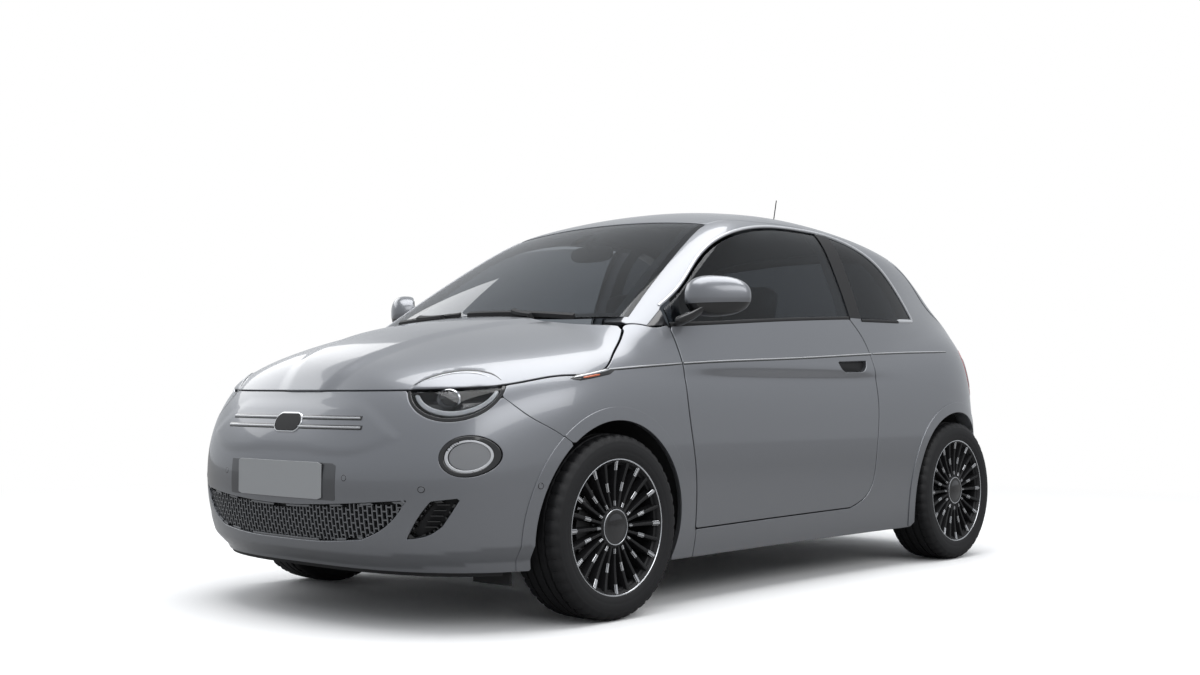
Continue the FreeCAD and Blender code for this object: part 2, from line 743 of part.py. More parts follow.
nose_s = lin(fx(1180), 2 * X1 + BEND * math.pi - fx(1180), 61)
nose_z = lin(fz(165), fz(800), 24)
cover = slab(wall_ray, nose_s, nose_z, BT)
cover = cover.common(side_prism(bumper_outline, -FIT, -1100, 1100)).cut(hood_room)
for side_sign in (1, -1):
    cuts = [arch_cut(AXF, ARCH), lamp_prism(FIT), front_prism(vent_outline), round_front(697, 556, 64)]
    for c in cuts:
        cover = cover.cut(c if side_sign > 0 else mirrored(c))
cover = cover.cut(front_prism(grille_outline))
cover = cover.cut(Part.makeBox(900, 1800, 300, V3(fx(1000), -900, -120 + fz(188) - 180)))
feature("front_bumper", biggest(cover))

lamp_us = lin(fx(1180), X1 + BEND * math.pi * 0.42, 22)
lamp_zs = lin(fz(600), fz(830), 12)
lamp = slab(wall_ray, lamp_us, lamp_zs, 90, 3).common(lamp_prism()).cut(hood_room)
lamp_line = side_prism(hood_outline, 10, -1100, 1100)
bowl = slab(wall_ray, lamp_us, lamp_zs, 70, -8).common(lamp_prism(-10)).cut(lamp_line)
guide = slab(wall_ray, lamp_us, lamp_zs, 72, 14).common(lamp_prism(-16)).cut(lamp_prism(-31)).cut(lamp_line)
aim = V3(math.cos(LAMP_DIR), math.sin(LAMP_DIR), 0)
eye_at = V3(fx(1588), fy(588), fz(726))
eye = Part.makeCylinder(30, 60, eye_at - aim * 42, aim).fuse(Part.makeSphere(26, eye_at + aim * 6))
lamp = lamp.cut(bowl)
lamp = lamp.fuse(guide.common(bowl.fuse(lamp))).fuse(eye.common(bowl.fuse(lamp)))
both("headlamps", biggest(lamp))
low_us = lin(fx(1180), X1 + BEND * math.pi * 0.42, 22)
low_lamp = slab(wall_ray, low_us, lin(fz(430), fz(680), 12), 34, 3).common(round_front(697, 556, 63.5))
groove = slab(wall_ray, low_us, lin(fz(430), fz(680), 12), 9, -4)
low_lamp = low_lamp.cut(groove.common(round_front(697, 556, 52).cut(round_front(697, 556, 46))))
both("running_lamps", biggest(low_lamp))
vent = slab(wall_ray, lin(fx(1180), X1 + BEND * math.pi * 0.46, 22), lin(fz(260), fz(460), 10), BT + 6, 12)
vent = vent.common(front_prism(vent_outline, -FIT))
slots = []
for k in range(5):
    y, z = 618 - 11 * k, 398 - 20 * k
    slots.append(prism_z([(fx(1300), fy(y - 20)), (fx(1900), fy(y - 20)), (fx(1900), fy(y + 42)),
                          (fx(1300), fy(y + 42))],
                         fz(z - 5), fz(z + 5)))
vent = biggest(vent)
inner_vent = slab(wall_ray, lin(fx(1180), X1 + BEND * math.pi * 0.46, 22), lin(fz(260), fz(460), 10),
                  BT - 2, 6)
vent = biggest(vent.cut(inner_vent.common(front_prism(vent_outline, -9)).common(Part.Compound(slots))))
mesh = slab(wall_ray, nose_s, lin(fz(240), fz(450), 12), BT - 2, 10).common(front_prism(grille_outline,
                                                                                        -FIT))
columns, pitch, tall = 13, 39.0, 34.0
cells = []
for i in range(-columns, columns + 1):
    for j in range(4):
        y, z = i * pitch, 270 + tall * j + (tall / 2 if i % 2 else 0)
        side_room = 500 - max(0.0, 385 - z) * 1.25
        mesh_foot, mesh_head = 284 + 0.0004 * y * y, 398 + 0.00009 * y * y
        if abs(y) + pitch / 2 < side_room and mesh_foot < z + 4 and z + tall < mesh_head:
            cells.append(box(fx(1500), fx(1900), fy(y) - 13, fy(y) + 13, fz(z) + 4, fz(z + tall) - 4))
front_face = slab(wall_ray, nose_s, lin(fz(240), fz(450), 12), BT - 8, 6)
mesh = biggest(mesh).cut(front_face.common(Part.Compound(cells)))
feature("front_grille", Part.Compound([biggest(mesh), vent, mirrored(vent)]))

# rear end
tail_us, tail_vs = lin(-50, 50, 26), lin(-16, 58, 24)
back_slab = slab(tail_ray, tail_us, tail_vs, size("tailgate_thick"))
gate = back_slab.common(front_prism(tailgate_outline, 0, fx(-2000), fx(roof_rear - 9)))
pane_rear = slab(tail_ray, tail_us, tail_vs, GS + GT, GS).common(front_prism(rear_glass_outline, 0,
                                                                             fx(-2000), fx(-1150)))
gate = gate.cut(slab(tail_ray, tail_us, tail_vs, GS + GT + 0.3, -6).common(
    front_prism(rear_glass_outline, 2, fx(-2000), fx(-1150))))
gate = gate.cut(front_prism(rear_glass_outline, -16, fx(-2000), fx(-1150)))
# inside each flank the flange steps in, so that its forward corner clears the body side as the gate swings
flank = front_prism(tailgate_outline, 3, fx(-1262), fx(roof_rear)).cut(
    front_prism(tailgate_outline, -size("flank_step"), fx(-1262), fx(roof_rear)))
gate = gate.cut(flank.common(box(-1400, -1100, -700, 700, fz(1130), fz(1290))))
lip_line = close([(-520, 1500), (-505, 1416)], [(-505, 1416), (0, 1434), (505, 1416)],
                 [(505, 1416), (520, 1500)],
                 [(520, 1500), (-520, 1500)])
lip = slab(tail_ray, tail_us, tail_vs, 6, -11).common(front_prism(lip_line, 0, fx(-1400),
                                                                  fx(roof_rear - 16)))
gate = gate.fuse(biggest(lip))
plate_line = close([(-268, 690), (268, 690)], [(268, 690), (262, 842)], [(262, 842), (-262, 842)],
                   [(-262, 842), (-268, 690)])
gate = gate.cut(slab(tail_ray, tail_us, tail_vs, 16, -8).common(front_prism(plate_line, 0, fx(-2000),
                                                                            fx(-1500))))
feature("tailgate", biggest(gate))
tail_slab = slab(side_ray, lin(fx(-1150), fx(-1000) - BEND * 1.1, 20), lin(-8, 30, 14),
                 size("side_thick") - 4, 3)
both("tail_lamps", biggest(tail_slab.common(tail_lamp_prism()).cut(tail_room)))
feature("tailgate_glass", biggest(pane_rear))

rear_s = lin(fx(-1220), 2 * X2 - BEND * math.pi - fx(-1220), 61)
rear_cover = slab(wall_ray, rear_s, lin(fz(165), fz(640), 18), BT)
rear_cover = rear_cover.common(side_prism(rear_bumper_outline, -FIT, -1100, 1100))
rear_cover = rear_cover.cut(arch_cut(AXR, ARCH, -1100, 1100))
rear_cover = rear_cover.cut(Part.makeBox(900, 1800, 300, V3(fx(-2000), -900, fz(205) - 300)))
feature("rear_bumper", biggest(rear_cover))

# door mirrors
def pod(stations, at, turn_deg):
    """A smooth closed body through upright oval sections along its own long way."""
    rings = []
    for along, depth, height in stations:
        oval = Part.Ellipse(V3(0, 0, 0), max(depth, height), min(depth, height)).toShape()
        oval.rotate(V3(0, 0, 0), V3(0, 1, 0), 90)
        if depth > height:
            oval.rotate(V3(0, 0, 0), V3(1, 0, 0), 90)
        oval.translate(V3(along, 0, 0))
        rings.append(Part.Wire(oval))
    s = Part.makeLoft(rings, True)
    s.rotate(V3(0, 0, 0), V3(0, 0, 1), turn_deg)
    s.translate(at)
    return s


mx, my, mz = fx(556), fy(860), fz(1096)
MIRROR_TURN = 128
head = pod([(-112, 20, 30), (-104, 32, 43), (-75, 48, 59), (-25, 59, 70), (30, 61, 73), (75, 52, 65),
            (104, 35, 48),
            (116, 19, 30)], V3(mx, my, mz), MIRROR_TURN)
face_away = Part.makeBox(400, 60, 400, V3(-200, 38, -200))
face_away.rotate(V3(0, 0, 0), V3(0, 0, 1), MIRROR_TURN)
face_away.translate(V3(mx, my, mz))
head = head.cut(face_away)
foot = Part.makeLoft([Part.makePolygon([V3(fx(x), fy(y), fz(z)) for x, y,
                                        z in ring + ring[:1]]) for ring in (
    [(702, 700, 958), (588, 700, 958), (588, 700, 1034), (702, 700, 1034)],
    [(690, 790, 990), (598, 790, 990), (590, 790, 1044), (680, 790, 1044)],
    [(640, 845, 1046), (560, 845, 1046), (556, 845, 1078), (630, 845, 1078)])], True, True)
mirror = head.fuse(foot).cut(slab(side_ray, pane_grid[0], lin(8, 40, 12), 90, -0.4))
mirror = mirror.cut(box(fx(400), fx(800), 0, fy(748), 0, 1300)).cut(box(fx(694), fx(800), 0, 1000, 0, 1300))
feature("door_mirror_left", biggest(mirror))
feature("door_mirror_right", mirrored(biggest(mirror)))

# wheels
TR, TW, RR, RW = "Sizes.tyre_radius", "Sizes.tyre_width / 2", "Sizes.rim_radius", "Sizes.rim_width / 2"


def mirror_profile(points):
    out = []
    for a, r in reversed(points):
        out.append(("-(" + a + ")", r))
    return points + out


tyre_points = mirror_profile([(RW + " - 8", RR + " - 13.7"), (TW, RR + " + 34"),
                              (TW + " - 7", TR + " - 15"),
                              (TW + " - 25", TR)])
rim_points = [(RW, RR), (RW + " - 7.7", RR + " - 14"), ("-(" + RW + " - 7.7)", RR + " - 14"),
              ("-(" + RW + ")", RR),
              ("-(" + RW + ")", RR + " - 23"), (RW + " - 12", RR + " - 23"), (RW, RR + " - 9")]
WHEELS = (("front_left", "Sizes.car_length / 2 - Sizes.front_overhang", "Sizes.track_front / 2", 1),
          ("front_right", "Sizes.car_length / 2 - Sizes.front_overhang", "-Sizes.track_front / 2", -1),
          ("rear_left", "Sizes.car_length / 2 - Sizes.front_overhang - Sizes.wheelbase",
           "Sizes.track_rear / 2", 1),
          ("rear_right", "Sizes.car_length / 2 - Sizes.front_overhang - Sizes.wheelbase",
           "-Sizes.track_rear / 2", -1))
for corner, wx, wy, out in WHEELS:
    s = "" if out > 0 else "-"
    tyre = turned("tyre_" + corner, tyre_points)
    place(tyre, wx, wy, TR)
    node("tyre_" + corner, tyre)
    rim = turned("rim_" + corner, rim_points)
    hub_sk = sketch(rim, "YZ_Plane", [(s + "(" + RW + " - 12)", "18.3"),
                                      (s + "(" + RW + " - 12)", "Sizes.hub_cap_radius"),
                                      (s + "(" + RW + " - 45)", "Sizes.hub_cap_radius + 10"),
                                      (s + "(" + RW + " - 45)", "18.3")],
                    "Hub")
    hub = rim.newObject("PartDesign::Revolution", "HubTurned")
    hub.Profile = hub_sk
    hub.ReferenceAxis = (hub_sk, ["H_Axis"])
    hub.Angle = 360
    spoke_sk = sketch(rim, "YZ_Plane", [(s + "(" + RW + " - 16)", "Sizes.hub_cap_radius - 6"),
                                        (s + "(" + RW + " - 6)", RR + " - 19"),
                                        (s + "(" + RW + " - 38)", RR + " - 19"),
                                        (s + "(" + RW + " - 42)", "Sizes.hub_cap_radius - 6")],
                      "Spoke")
    spoke = rim.newObject("PartDesign::Pad", "SpokePad")
    spoke.Profile = spoke_sk
    spoke.Length = 13
    spoke.Midplane = True
    ring = rim.newObject("PartDesign::PolarPattern", "Spokes")
    ring.Originals = [spoke]
    ring.Axis = (spoke_sk, ["H_Axis"])
    ring.Angle = 360
    rim.Tip = ring
    ring.setExpression("Occurrences", "Sizes.spoke_count")
    place(rim, wx, wy, TR)
    node("rim_" + corner, rim)
    disc = turned("brake_disc_" + corner, [
        (s + "(" + RW + " - 45.3)", "18.3"), (s + "(" + RW + " - 45.3)", "72"),
        (s + "(" + RW + " - 78)", "72"),
        (s + "(" + RW + " - 78)", "Sizes.disc_radius"), (s + "(" + RW + " - 100)", "Sizes.disc_radius"),
        (s + "(" + RW + " - 100)", "62"), (s + "(" + RW + " - 53)", "62"),
        (s + "(" + RW + " - 53)", "18.3")])
    place(disc, wx, wy, TR)
    node("brake_disc_" + corner, disc)

# front knuckles and struts
TF, TB = size("track_front") / 2, size("track_rear") / 2
HW = size("rim_width") / 2
KL = V3(AXF, size("king_low_y"), size("king_low_z"))
KT = V3(AXF, size("king_top_y"), size("king_top_z"))


def king(z):
    t = (z - KL.z) / (KT.z - KL.z)
    return (AXF, KL.y + (KT.y - KL.y) * t, z)


face_in = TF + HW - 45.3 - 55 - 4
carrier = prism_y([(AXF - 62, HUB - 70), (AXF + 62, HUB - 70), (AXF + 52, HUB + 78),
                   (AXF - 52, HUB + 78)], face_in - 34, face_in - 4)
carrier = carrier.cut(Part.makeCylinder(30, 60, V3(AXF, face_in - 50, HUB), V3(0, 1, 0)))
carrier = carrier.fuse(Part.makeCylinder(44, 34, V3(AXF, face_in - 40, HUB), V3(0, 1, 0)))
carrier = carrier.fuse(Part.makeCylinder(18, TF + HW - 20 - face_in + 20, V3(AXF, face_in - 20, HUB),
                                         V3(0, 1, 0)))
carrier = carrier.fuse(rod(king(KL.z + 8), king(HUB - 40), 20))
carrier = carrier.fuse(rod(king(HUB + 20), king(KT.z - 150), 23))
carrier = carrier.fuse(rod(king(KT.z - 155), king(KT.z - 12), 44))
carrier = carrier.fuse(rod(king(KT.z - 13), king(KT.z - 0.3), 16))
carrier = carrier.fuse(box(AXF - 150, AXF - 50, face_in - 30, face_in - 12, HUB - 20, HUB + 20))
carrier = carrier.fuse(box(AXF + 40, AXF + 90, face_in - 26, face_in - 6, HUB - 45, HUB + 45))
carrier = carrier.fuse(rod((AXF, king(HUB + 22)[1], HUB + 22), (AXF, face_in - 20, HUB + 22), 24))
carrier = carrier.fuse(rod((AXF, king(HUB - 55)[1], HUB - 55), (AXF, face_in - 20, HUB - 55), 17))
pads = Part.makeCylinder(size("disc_radius") + 14, 74, V3(AXF, face_in - 26, HUB), V3(0, 1, 0))
pads = pads.cut(Part.makeCylinder(78, 90, V3(AXF, face_in - 30, HUB), V3(0, 1, 0)))
pads = pads.common(box(AXF + 60, AXF + 200, face_in - 40, face_in + 60, HUB - 62, HUB + 62))
pads = pads.cut(Part.makeCylinder(size("disc_radius") + 5, 32, V3(AXF, face_in - 0.7, HUB), V3(0, 1, 0)))
carrier = carrier.fuse(pads)
pair("front_knuckle", biggest(carrier))

# rear axle
face_r = TB + HW - 45.3 - 55 - 4
arm_y = size("rear_house_y") - 130
axle = box(AXR + 250, AXR + 320, -arm_y, arm_y, HUB - 50, HUB + 10)
axle = axle.cut(box(AXR + 258, AXR + 312, -arm_y + 60, arm_y - 60, HUB - 60, HUB + 2))
for sy in (1, -1):
    y0, y1 = sorted((sy * (arm_y - 40), sy * (arm_y + 40)))
    arm = prism_y([(AXR - 90, HUB - 45), (AXR + 150, HUB - 62), (AXR + 420, HUB - 42), (AXR + 460, HUB),
                   (AXR + 420, HUB + 42),
                   (AXR + 150, HUB + 12), (AXR - 90, HUB + 12)], y0, y1)
    arm = arm.cut(Part.makeCylinder(16, 200, V3(AXR + 415, -100 + sy * arm_y, HUB), V3(0, 1, 0)))
    ya, yb = sorted((sy * arm_y, sy * (face_r - 4)))
    stub = box(AXR - 48, AXR + 48, ya, yb, HUB - 42, HUB + 40)
    stub = stub.fuse(Part.makeCylinder(18, TB + HW - 20 - face_r + 10, V3(AXR, sy * (face_r - 10), HUB),
                                       V3(0, sy, 0)))
    grip = Part.makeCylinder(size("disc_radius") + 14, 70, V3(AXR, sy * (face_r - 24), HUB), V3(0, sy, 0))
    grip = grip.cut(Part.makeCylinder(78, 90, V3(AXR, sy * (face_r - 34), HUB), V3(0, sy, 0)))
    grip = grip.common(box(AXR + 60, AXR + 200, -900, 900, HUB - 55, HUB + 55))
    grip = grip.cut(Part.makeCylinder(size("disc_radius") + 5, 32, V3(AXR, sy * (face_r - 0.7), HUB),
                                      V3(0, sy, 0)))
    grip = grip.fuse(box(AXR + 20, AXR + 85, *sorted((sy * (face_r - 24), sy * (face_r - 6))), HUB - 40,
                         HUB + 38))
    spring = Part.makeCylinder(52, FLOOR_BOOT - HUB - 12.3, V3(AXR + 110, sy * arm_y, HUB + 12),
                               V3(0, 0, 1))
    damper = rod((AXR - 60, sy * arm_y, HUB), (AXR - 60, sy * arm_y, FLOOR_BOOT - 0.3), 22)
    axle = axle.fuse([arm, stub, grip, spring, damper])
feature("rear_axle", biggest(axle))

# floor, battery and drive unit
FZ, FT = size("floor_z"), size("floor_thick")
inner_zone = slab(side_ray, lin(fx(905), fx(-1000) - BEND * 1.45, 44), lin(-42, 62, 24),
                  size("side_thick") + 0.4, -90.0)
nose_zone = slab(wall_ray, nose_s, lin(fz(100), fz(800), 22), BT + FIT, -120.0)
tail_zone = slab(wall_ray, rear_s, lin(fz(100), fz(700), 18), BT + FIT, -120.0)
bulkhead = [(fx(560), FZ), (fx(640), FZ + 90), (fx(705), fz(560)), (fx(800), fz(850)), (fx(860), fz(1120))]
rear_step = [(fx(-700), FZ), (fx(-800), FLOOR_BOOT - 60), (fx(-850), FLOOR_BOOT), (fx(-1700), FLOOR_BOOT)]
line = bulkhead[::-1] + rear_step
upper = [(x - 8, z + FT) for x, z in bulkhead][::-1] + [(x + (8 if i < 2 else 0), z + FT) for i,
                                                        (x, z) in enumerate(rear_step)]
pan = prism_y(line + upper[::-1], -fy(780), fy(780))
wide = box(fx(-840), fx(660), -fy(780), fy(780), FZ - 50, fz(700))
slim = box(fx(600), fx(1000), -WHY, WHY, FZ, fz(1200)).fuse(box(fx(-1750), fx(-800), -RHY, RHY, FZ,
                                                                FLOOR_BOOT + 100))
dash_wall = box(fx(640), fx(1000), -fy(640), fy(640), fz(700), fz(1200))
pan = pan.common(wide.fuse([slim, dash_wall])).cut(inner_zone).cut(mirrored(inner_zone)).cut(tail_zone)
scuttle_zone = slab(top_ray, lin(fx(700), fx(1060), 12), lin(-fy(700), fy(700), 15), 70.3, -90.0)
door_room = side_prism(door_outline, 8, fy(688), 1000)
pan = pan.cut(scuttle_zone).cut(door_room).cut(mirrored(door_room))
feature("floor_pan", biggest(pan))
scuttle_plan = close(sweep(lambda y: hood_rear(y) - 7, -650, 650),
                     [(hood_rear(650) - 7, 650), (glass_foot(650) - 12, 650)],
                     sweep(lambda y: glass_foot(y) - 12, 650, -650), [(glass_foot(650) - 12, -650),
                                                                      (hood_rear(650) - 7, -650)])
tray = slab(top_ray, lin(fx(760), fx(1040), 12), lin(-fy(680), fy(680), 15), 70,
            16).common(top_prism(scuttle_plan, 0, 700))
tray = tray.cut(shield_zone.common(top_prism(shield, 2, 900))).cut(hood_slab)
tray = tray.cut(inner_zone).cut(mirrored(inner_zone)).cut(box(fx(700), fx(1100), fy(590), 900, 0, 1200))
tray = tray.cut(box(fx(700), fx(1100), -900, -fy(590), 0, 1200))
feature("scuttle", biggest(tray))

battery = padded("battery_pack", "XY_Plane", [("-Sizes.battery_long / 2", "-Sizes.battery_wide / 2"),
                 ("Sizes.battery_long / 2", "-Sizes.battery_wide / 2"),
                 ("Sizes.battery_long / 2", "Sizes.battery_wide / 2"),
                 ("-Sizes.battery_long / 2", "Sizes.battery_wide / 2")], "Sizes.battery_high", False)
place(battery, "-60", "0", "Sizes.floor_z - Sizes.battery_high - 0.3")
node("battery_pack", battery)
drive = box(AXF - 210, AXF - 210 + size("motor_long"), -size("motor_wide") / 2, size("motor_wide") / 2,
            210.5, 210.5 + size("motor_high"))
feature("drive_unit", drive)

# front subframe, rails and bumper beam
sub = box(AXF - 260, AXF - 190, -WHY + 4, WHY - 4, 160, 210).fuse(box(AXF + 170, AXF + 230, -WHY + 4,
                                                                      WHY - 4, 160, 210))
for sy in (1, -1):
    y0, y1 = sorted((sy * (WHY - 70), sy * (WHY - 6)))
    sub = sub.fuse(box(AXF - 260, AXF + 230, y0, y1, 160, 210))
    y2, y3 = sorted((sy * (WHY - 78), sy * (WHY - 8)))
    sub = sub.fuse(box(fx(690), fx(1640), y2, y3, fz(470), fz(560)))
    sub = sub.fuse(box(AXF - 250, AXF - 200, y2, y3, 200, fz(500))).fuse(box(AXF + 180, AXF + 225, y2, y3,
                                                                             200, fz(500)))
    tri = prism_z([(AXF - 150, sy * (WHY - 30)), (AXF + 110, sy * (WHY - 30)),
                   (AXF + 30, sy * (KL.y + 8)), (AXF - 30, sy * (KL.y + 8))],
                  KL.z - 18, KL.z - 2)
    sub = sub.fuse(tri).fuse(Part.makeCylinder(16, 5.7, V3(AXF, sy * KL.y, KL.z - 2), V3(0, 0, 1)))
beam = slab(wall_ray, lin(fx(1180) + 420, 2 * X1 + BEND * math.pi - fx(1180) - 420, 31),
            lin(fz(455), fz(575), 8), BT + 50, BT + 0.4)
sub = sub.fuse(beam).cut(prism_y([(x + 0.4, z - 0.4) for x, z in bulkhead] + [(fx(500), fz(1120)),
                                                                              (fx(500), FZ)], -900, 900))
feature("front_subframe", biggest(sub))

# wheel houses
HOUSE = size("arch_radius") + 38
house = Part.makeCylinder(HOUSE + 5, 500, V3(AXF, WHY, HUB), V3(0, 1, 0)).cut(
    Part.makeCylinder(HOUSE, 500, V3(AXF, WHY + 5, HUB), V3(0, 1, 0)))
house = house.cut(box(AXF - 600, AXF + 600, 0, 1100, -100, HUB - 60))
house = house.cut(prism_y([(AXF - 262, 0), (AXF + 232, 0), (AXF + 232, HUB + 60), (AXF - 262, HUB + 60)],
                          WHY - 5, WHY + 6))
house = house.cut(rod(king(640), king(KT.z), 84))
tower = rod(king(640), king(KT.z + 6), 88).cut(rod(king(600), king(KT.z), 83))
tower = tower.cut(Part.makeCylinder(HOUSE, 500, V3(AXF, WHY + 5, HUB), V3(0, 1, 0)))
tower = tower.common(box(AXF - 200, AXF + 200, WHY, 900, 500, 1200))
house = house.fuse(tower)
zone = slab(side_ray, lin(fx(520), fx(1760), 30), lin(-42, 26, 22), WT + FIT, -120.0)
nose_more = slab(wall_ray, lin(fx(1180), X1 + BEND * 1.4, 30), lin(fz(100), fz(800), 22), BT + FIT, -120.0)
house = house.cut(zone).cut(nose_more.common(side_prism(bumper_outline, 1)))
low_half = mirrored(house)
rear_house = Part.makeCylinder(ARCH + 5, 400, V3(AXR - size("arch_back"), RHY + 0.4, HUB), V3(0, 1, 0)).cut(
    Part.makeCylinder(ARCH, 400, V3(AXR - size("arch_back"), RHY + 5, HUB), V3(0, 1, 0)))
rear_house = rear_house.cut(box(AXR - 600, AXR + 600, 0, 1100, -100, HUB + 90))
rear_house = rear_house.cut(inner_zone).cut(tail_zone)
feature("wheel_houses", Part.Compound([biggest(house), biggest(low_half), biggest(rear_house),
                                       biggest(mirrored(rear_house))]))

# inside
floor_top = FZ + FT


def cushion(x0, x1, y0, y1, z0, z1, r):
    s = box(x0, x1, y0, y1, z0, z1)
    return s.makeFillet(r, s.Edges)


def leaning(shape, x, z, deg):
    shape.rotate(V3(x, 0, z), V3(0, 1, 0), deg)
    return shape


SW, SY, SX = size("seat_wide") / 2, size("seat_y"), size("seat_x")
seats = []
for sy in (1, -1):
    c = sy * SY
    y0, y1 = c - SW, c + SW
    rails = box(SX - 230, SX + 230, c - 190, c - 160, floor_top + 0.3, floor_top + 60).fuse(
        box(SX - 230, SX + 230, c + 160, c + 190, floor_top + 0.3, floor_top + 60))
    pan_box = box(SX - 240, SX + 250, y0 + 30, y1 - 30, floor_top + 59, floor_top + 120)
    pad = cushion(SX - 230, SX + 270, y0, y1, floor_top + 110, floor_top + 250, 45)
    rest = leaning(cushion(SX - 300, SX - 185, y0 + 10, y1 - 10, floor_top + 190, floor_top + 800, 45),
                   SX - 240, floor_top + 200, -14)
    top = leaning(cushion(SX - 285, SX - 195, c - 130, c + 130, floor_top + 770, floor_top + 950, 38),
                  SX - 240, floor_top + 200, -14)
    seats.append(biggest(rails.fuse([pan_box, pad, rest, top])))
feature("front_seats", Part.Compound(seats))
bench_x = fx(-640)
bench = cushion(bench_x - 130, bench_x + 300, -fy(520), fy(520), floor_top + 0.3, floor_top + 240, 40)
back_rest = leaning(cushion(bench_x - 250, bench_x - 140, -fy(520), fy(520), floor_top + 250,
                            floor_top + 780, 40),
                    bench_x - 190, floor_top + 260, -16)
bench = bench.fuse(back_rest).fuse(box(bench_x - 190, bench_x - 60, -fy(500), fy(500), floor_top + 215,
                                       floor_top + 330))
under = prism_y([(fx(-500), FZ - 50)] + [(x + (8.4 if i < 2 else 0), z + FT + 0.4) for i,
                                         (x, z) in enumerate(rear_step)]
                + [(fx(-1700), FZ - 50)], -900, 900)
bench = bench.cut(under)
feature("rear_bench", biggest(bench))

dash = prism_y([(fx(520), fz(690)), (fx(505), fz(800)), (fx(560), fz(900)), (fx(640), fz(950)),
                (fx(780), fz(975)),
                (fx(880), fz(975)), (fx(880), fz(640)), (fx(600), fz(640))], -fy(585), fy(585))
behind = prism_y([(x - 8.4, z + FT) for x, z in bulkhead] + [(fx(1200), fz(1120)), (fx(1200), FZ)], -900,
                 900)
dash = dash.cut(behind).cut(scuttle_zone)
feature("dashboard", biggest(dash))
WX, WZ = fx(430), fz(880)
wheel = Part.makeTorus(182, 15)
wheel = wheel.fuse(Part.makeCylinder(55, 40, V3(0, 0, -20)))
for a in (0, 180, 270):
    spoke = box(40, 175, -16, 16, -9, 9)
    spoke.rotate(V3(0, 0, 0), V3(0, 0, 1), a)
    wheel = wheel.fuse(spoke)
wheel = wheel.fuse(Part.makeCylinder(32, 150, V3(0, 0, 10)))
wheel.rotate(V3(0, 0, 0), V3(0, 0, 1), 90)
wheel.rotate(V3(0, 0, 0), V3(0, 1, 0), 66)
wheel.translate(V3(WX, SY, WZ))
wheel = wheel.cut(prism_y([(fx(520) - 0.3, fz(690)), (fx(505) - 0.3, fz(800)), (fx(560) - 0.3, fz(900)),
                           (fx(640), fz(950) + 0.3),
                           (fx(1000), fz(1000)), (fx(1000), fz(600))], -900, 900))
feature("steering_wheel", biggest(wheel))

# aerial
ax, top_z = fx(-985), fz(1684)
root = shoot(*top_ray(ax, 0.0))
base = Part.makeCone(24, 9, 30, V3(ax, 0, root.z - 2), V3(-0.1, 0, 1))
whip = Part.makeCone(4.0, 1.6, top_z - root.z - 20, V3(ax - 2, 0, root.z + 20), V3(-0.3, 0, 1))
aerial = base.fuse(whip).cut(slab(top_ray, lin(fx(-1100), fx(-880), 8), lin(-80, 80, 6), 40, -0.3))
feature("aerial", biggest(aerial))

# wipers
def strip(path, half):
    """A band along a path in the plan view."""
    left, right = [], []
    for i, (x, y) in enumerate(path):
        p, q = path[max(i - 1, 0)], path[min(i + 1, len(path) - 1)]
        n = math.hypot(q[0] - p[0], q[1] - p[1])
        ux, uy = -(q[1] - p[1]) / n * half, (q[0] - p[0]) / n * half
        left.append((x + ux, y + uy))
        right.append((x - ux, y - uy))
    return close(left, right[::-1])


wipe_us, wipe_vs = lin(fx(820), fx(975), 10), lin(-fy(620), fy(620), 25)
blade_slab = slab(top_ray, wipe_us, wipe_vs, GS - 0.3, -10)
arm_slab = slab(top_ray, wipe_us, wipe_vs, -8, -18)
blades = []
for path, pivot in (([(892, 470), (906, 330), (914, 180), (916, 30), (915, -60)], (942, 300)),
                    ([(914, -110), (910, -230), (893, -380), (868, -520)], (942, -180))):
    blade = blade_slab.common(top_prism(strip(path, 7), 0, 900))
    mid = path[2]
    arm = arm_slab.common(top_prism(strip([pivot, ((pivot[0] + mid[0]) / 2 + 6, (pivot[1] + mid[1]) / 2),
                                           mid], 8), 0, 900))
    top = shoot(*top_ray(fx(pivot[0]), fy(pivot[1])), level=12)
    stem = Part.makeCylinder(11, 27.7, V3(top.x, top.y, top.z - 27.7), V3(0, 0, 1))
    blades.append(biggest(blade.fuse([arm, stem])))
feature("wipers", Part.Compound(blades))

doc.recompute()
os.makedirs("parts", exist_ok=True)
for name, obj in NODES.items():
    shape = obj.Shape
    if shape.isNull() or not shape.isValid() or "Invalid" in obj.State or "Error" in obj.State:
        raise RuntimeError("bad shape in " + name)
for old in os.listdir("parts"):
    if old.endswith(".step") and old[:-5] not in NODES:
        os.remove(os.path.join("parts", old))
for name, obj in NODES.items():
    obj.Shape.exportStep("parts/" + name + ".step")
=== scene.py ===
import math

import bmesh
import bpy
import numpy as np
from mathutils import Matrix, Vector


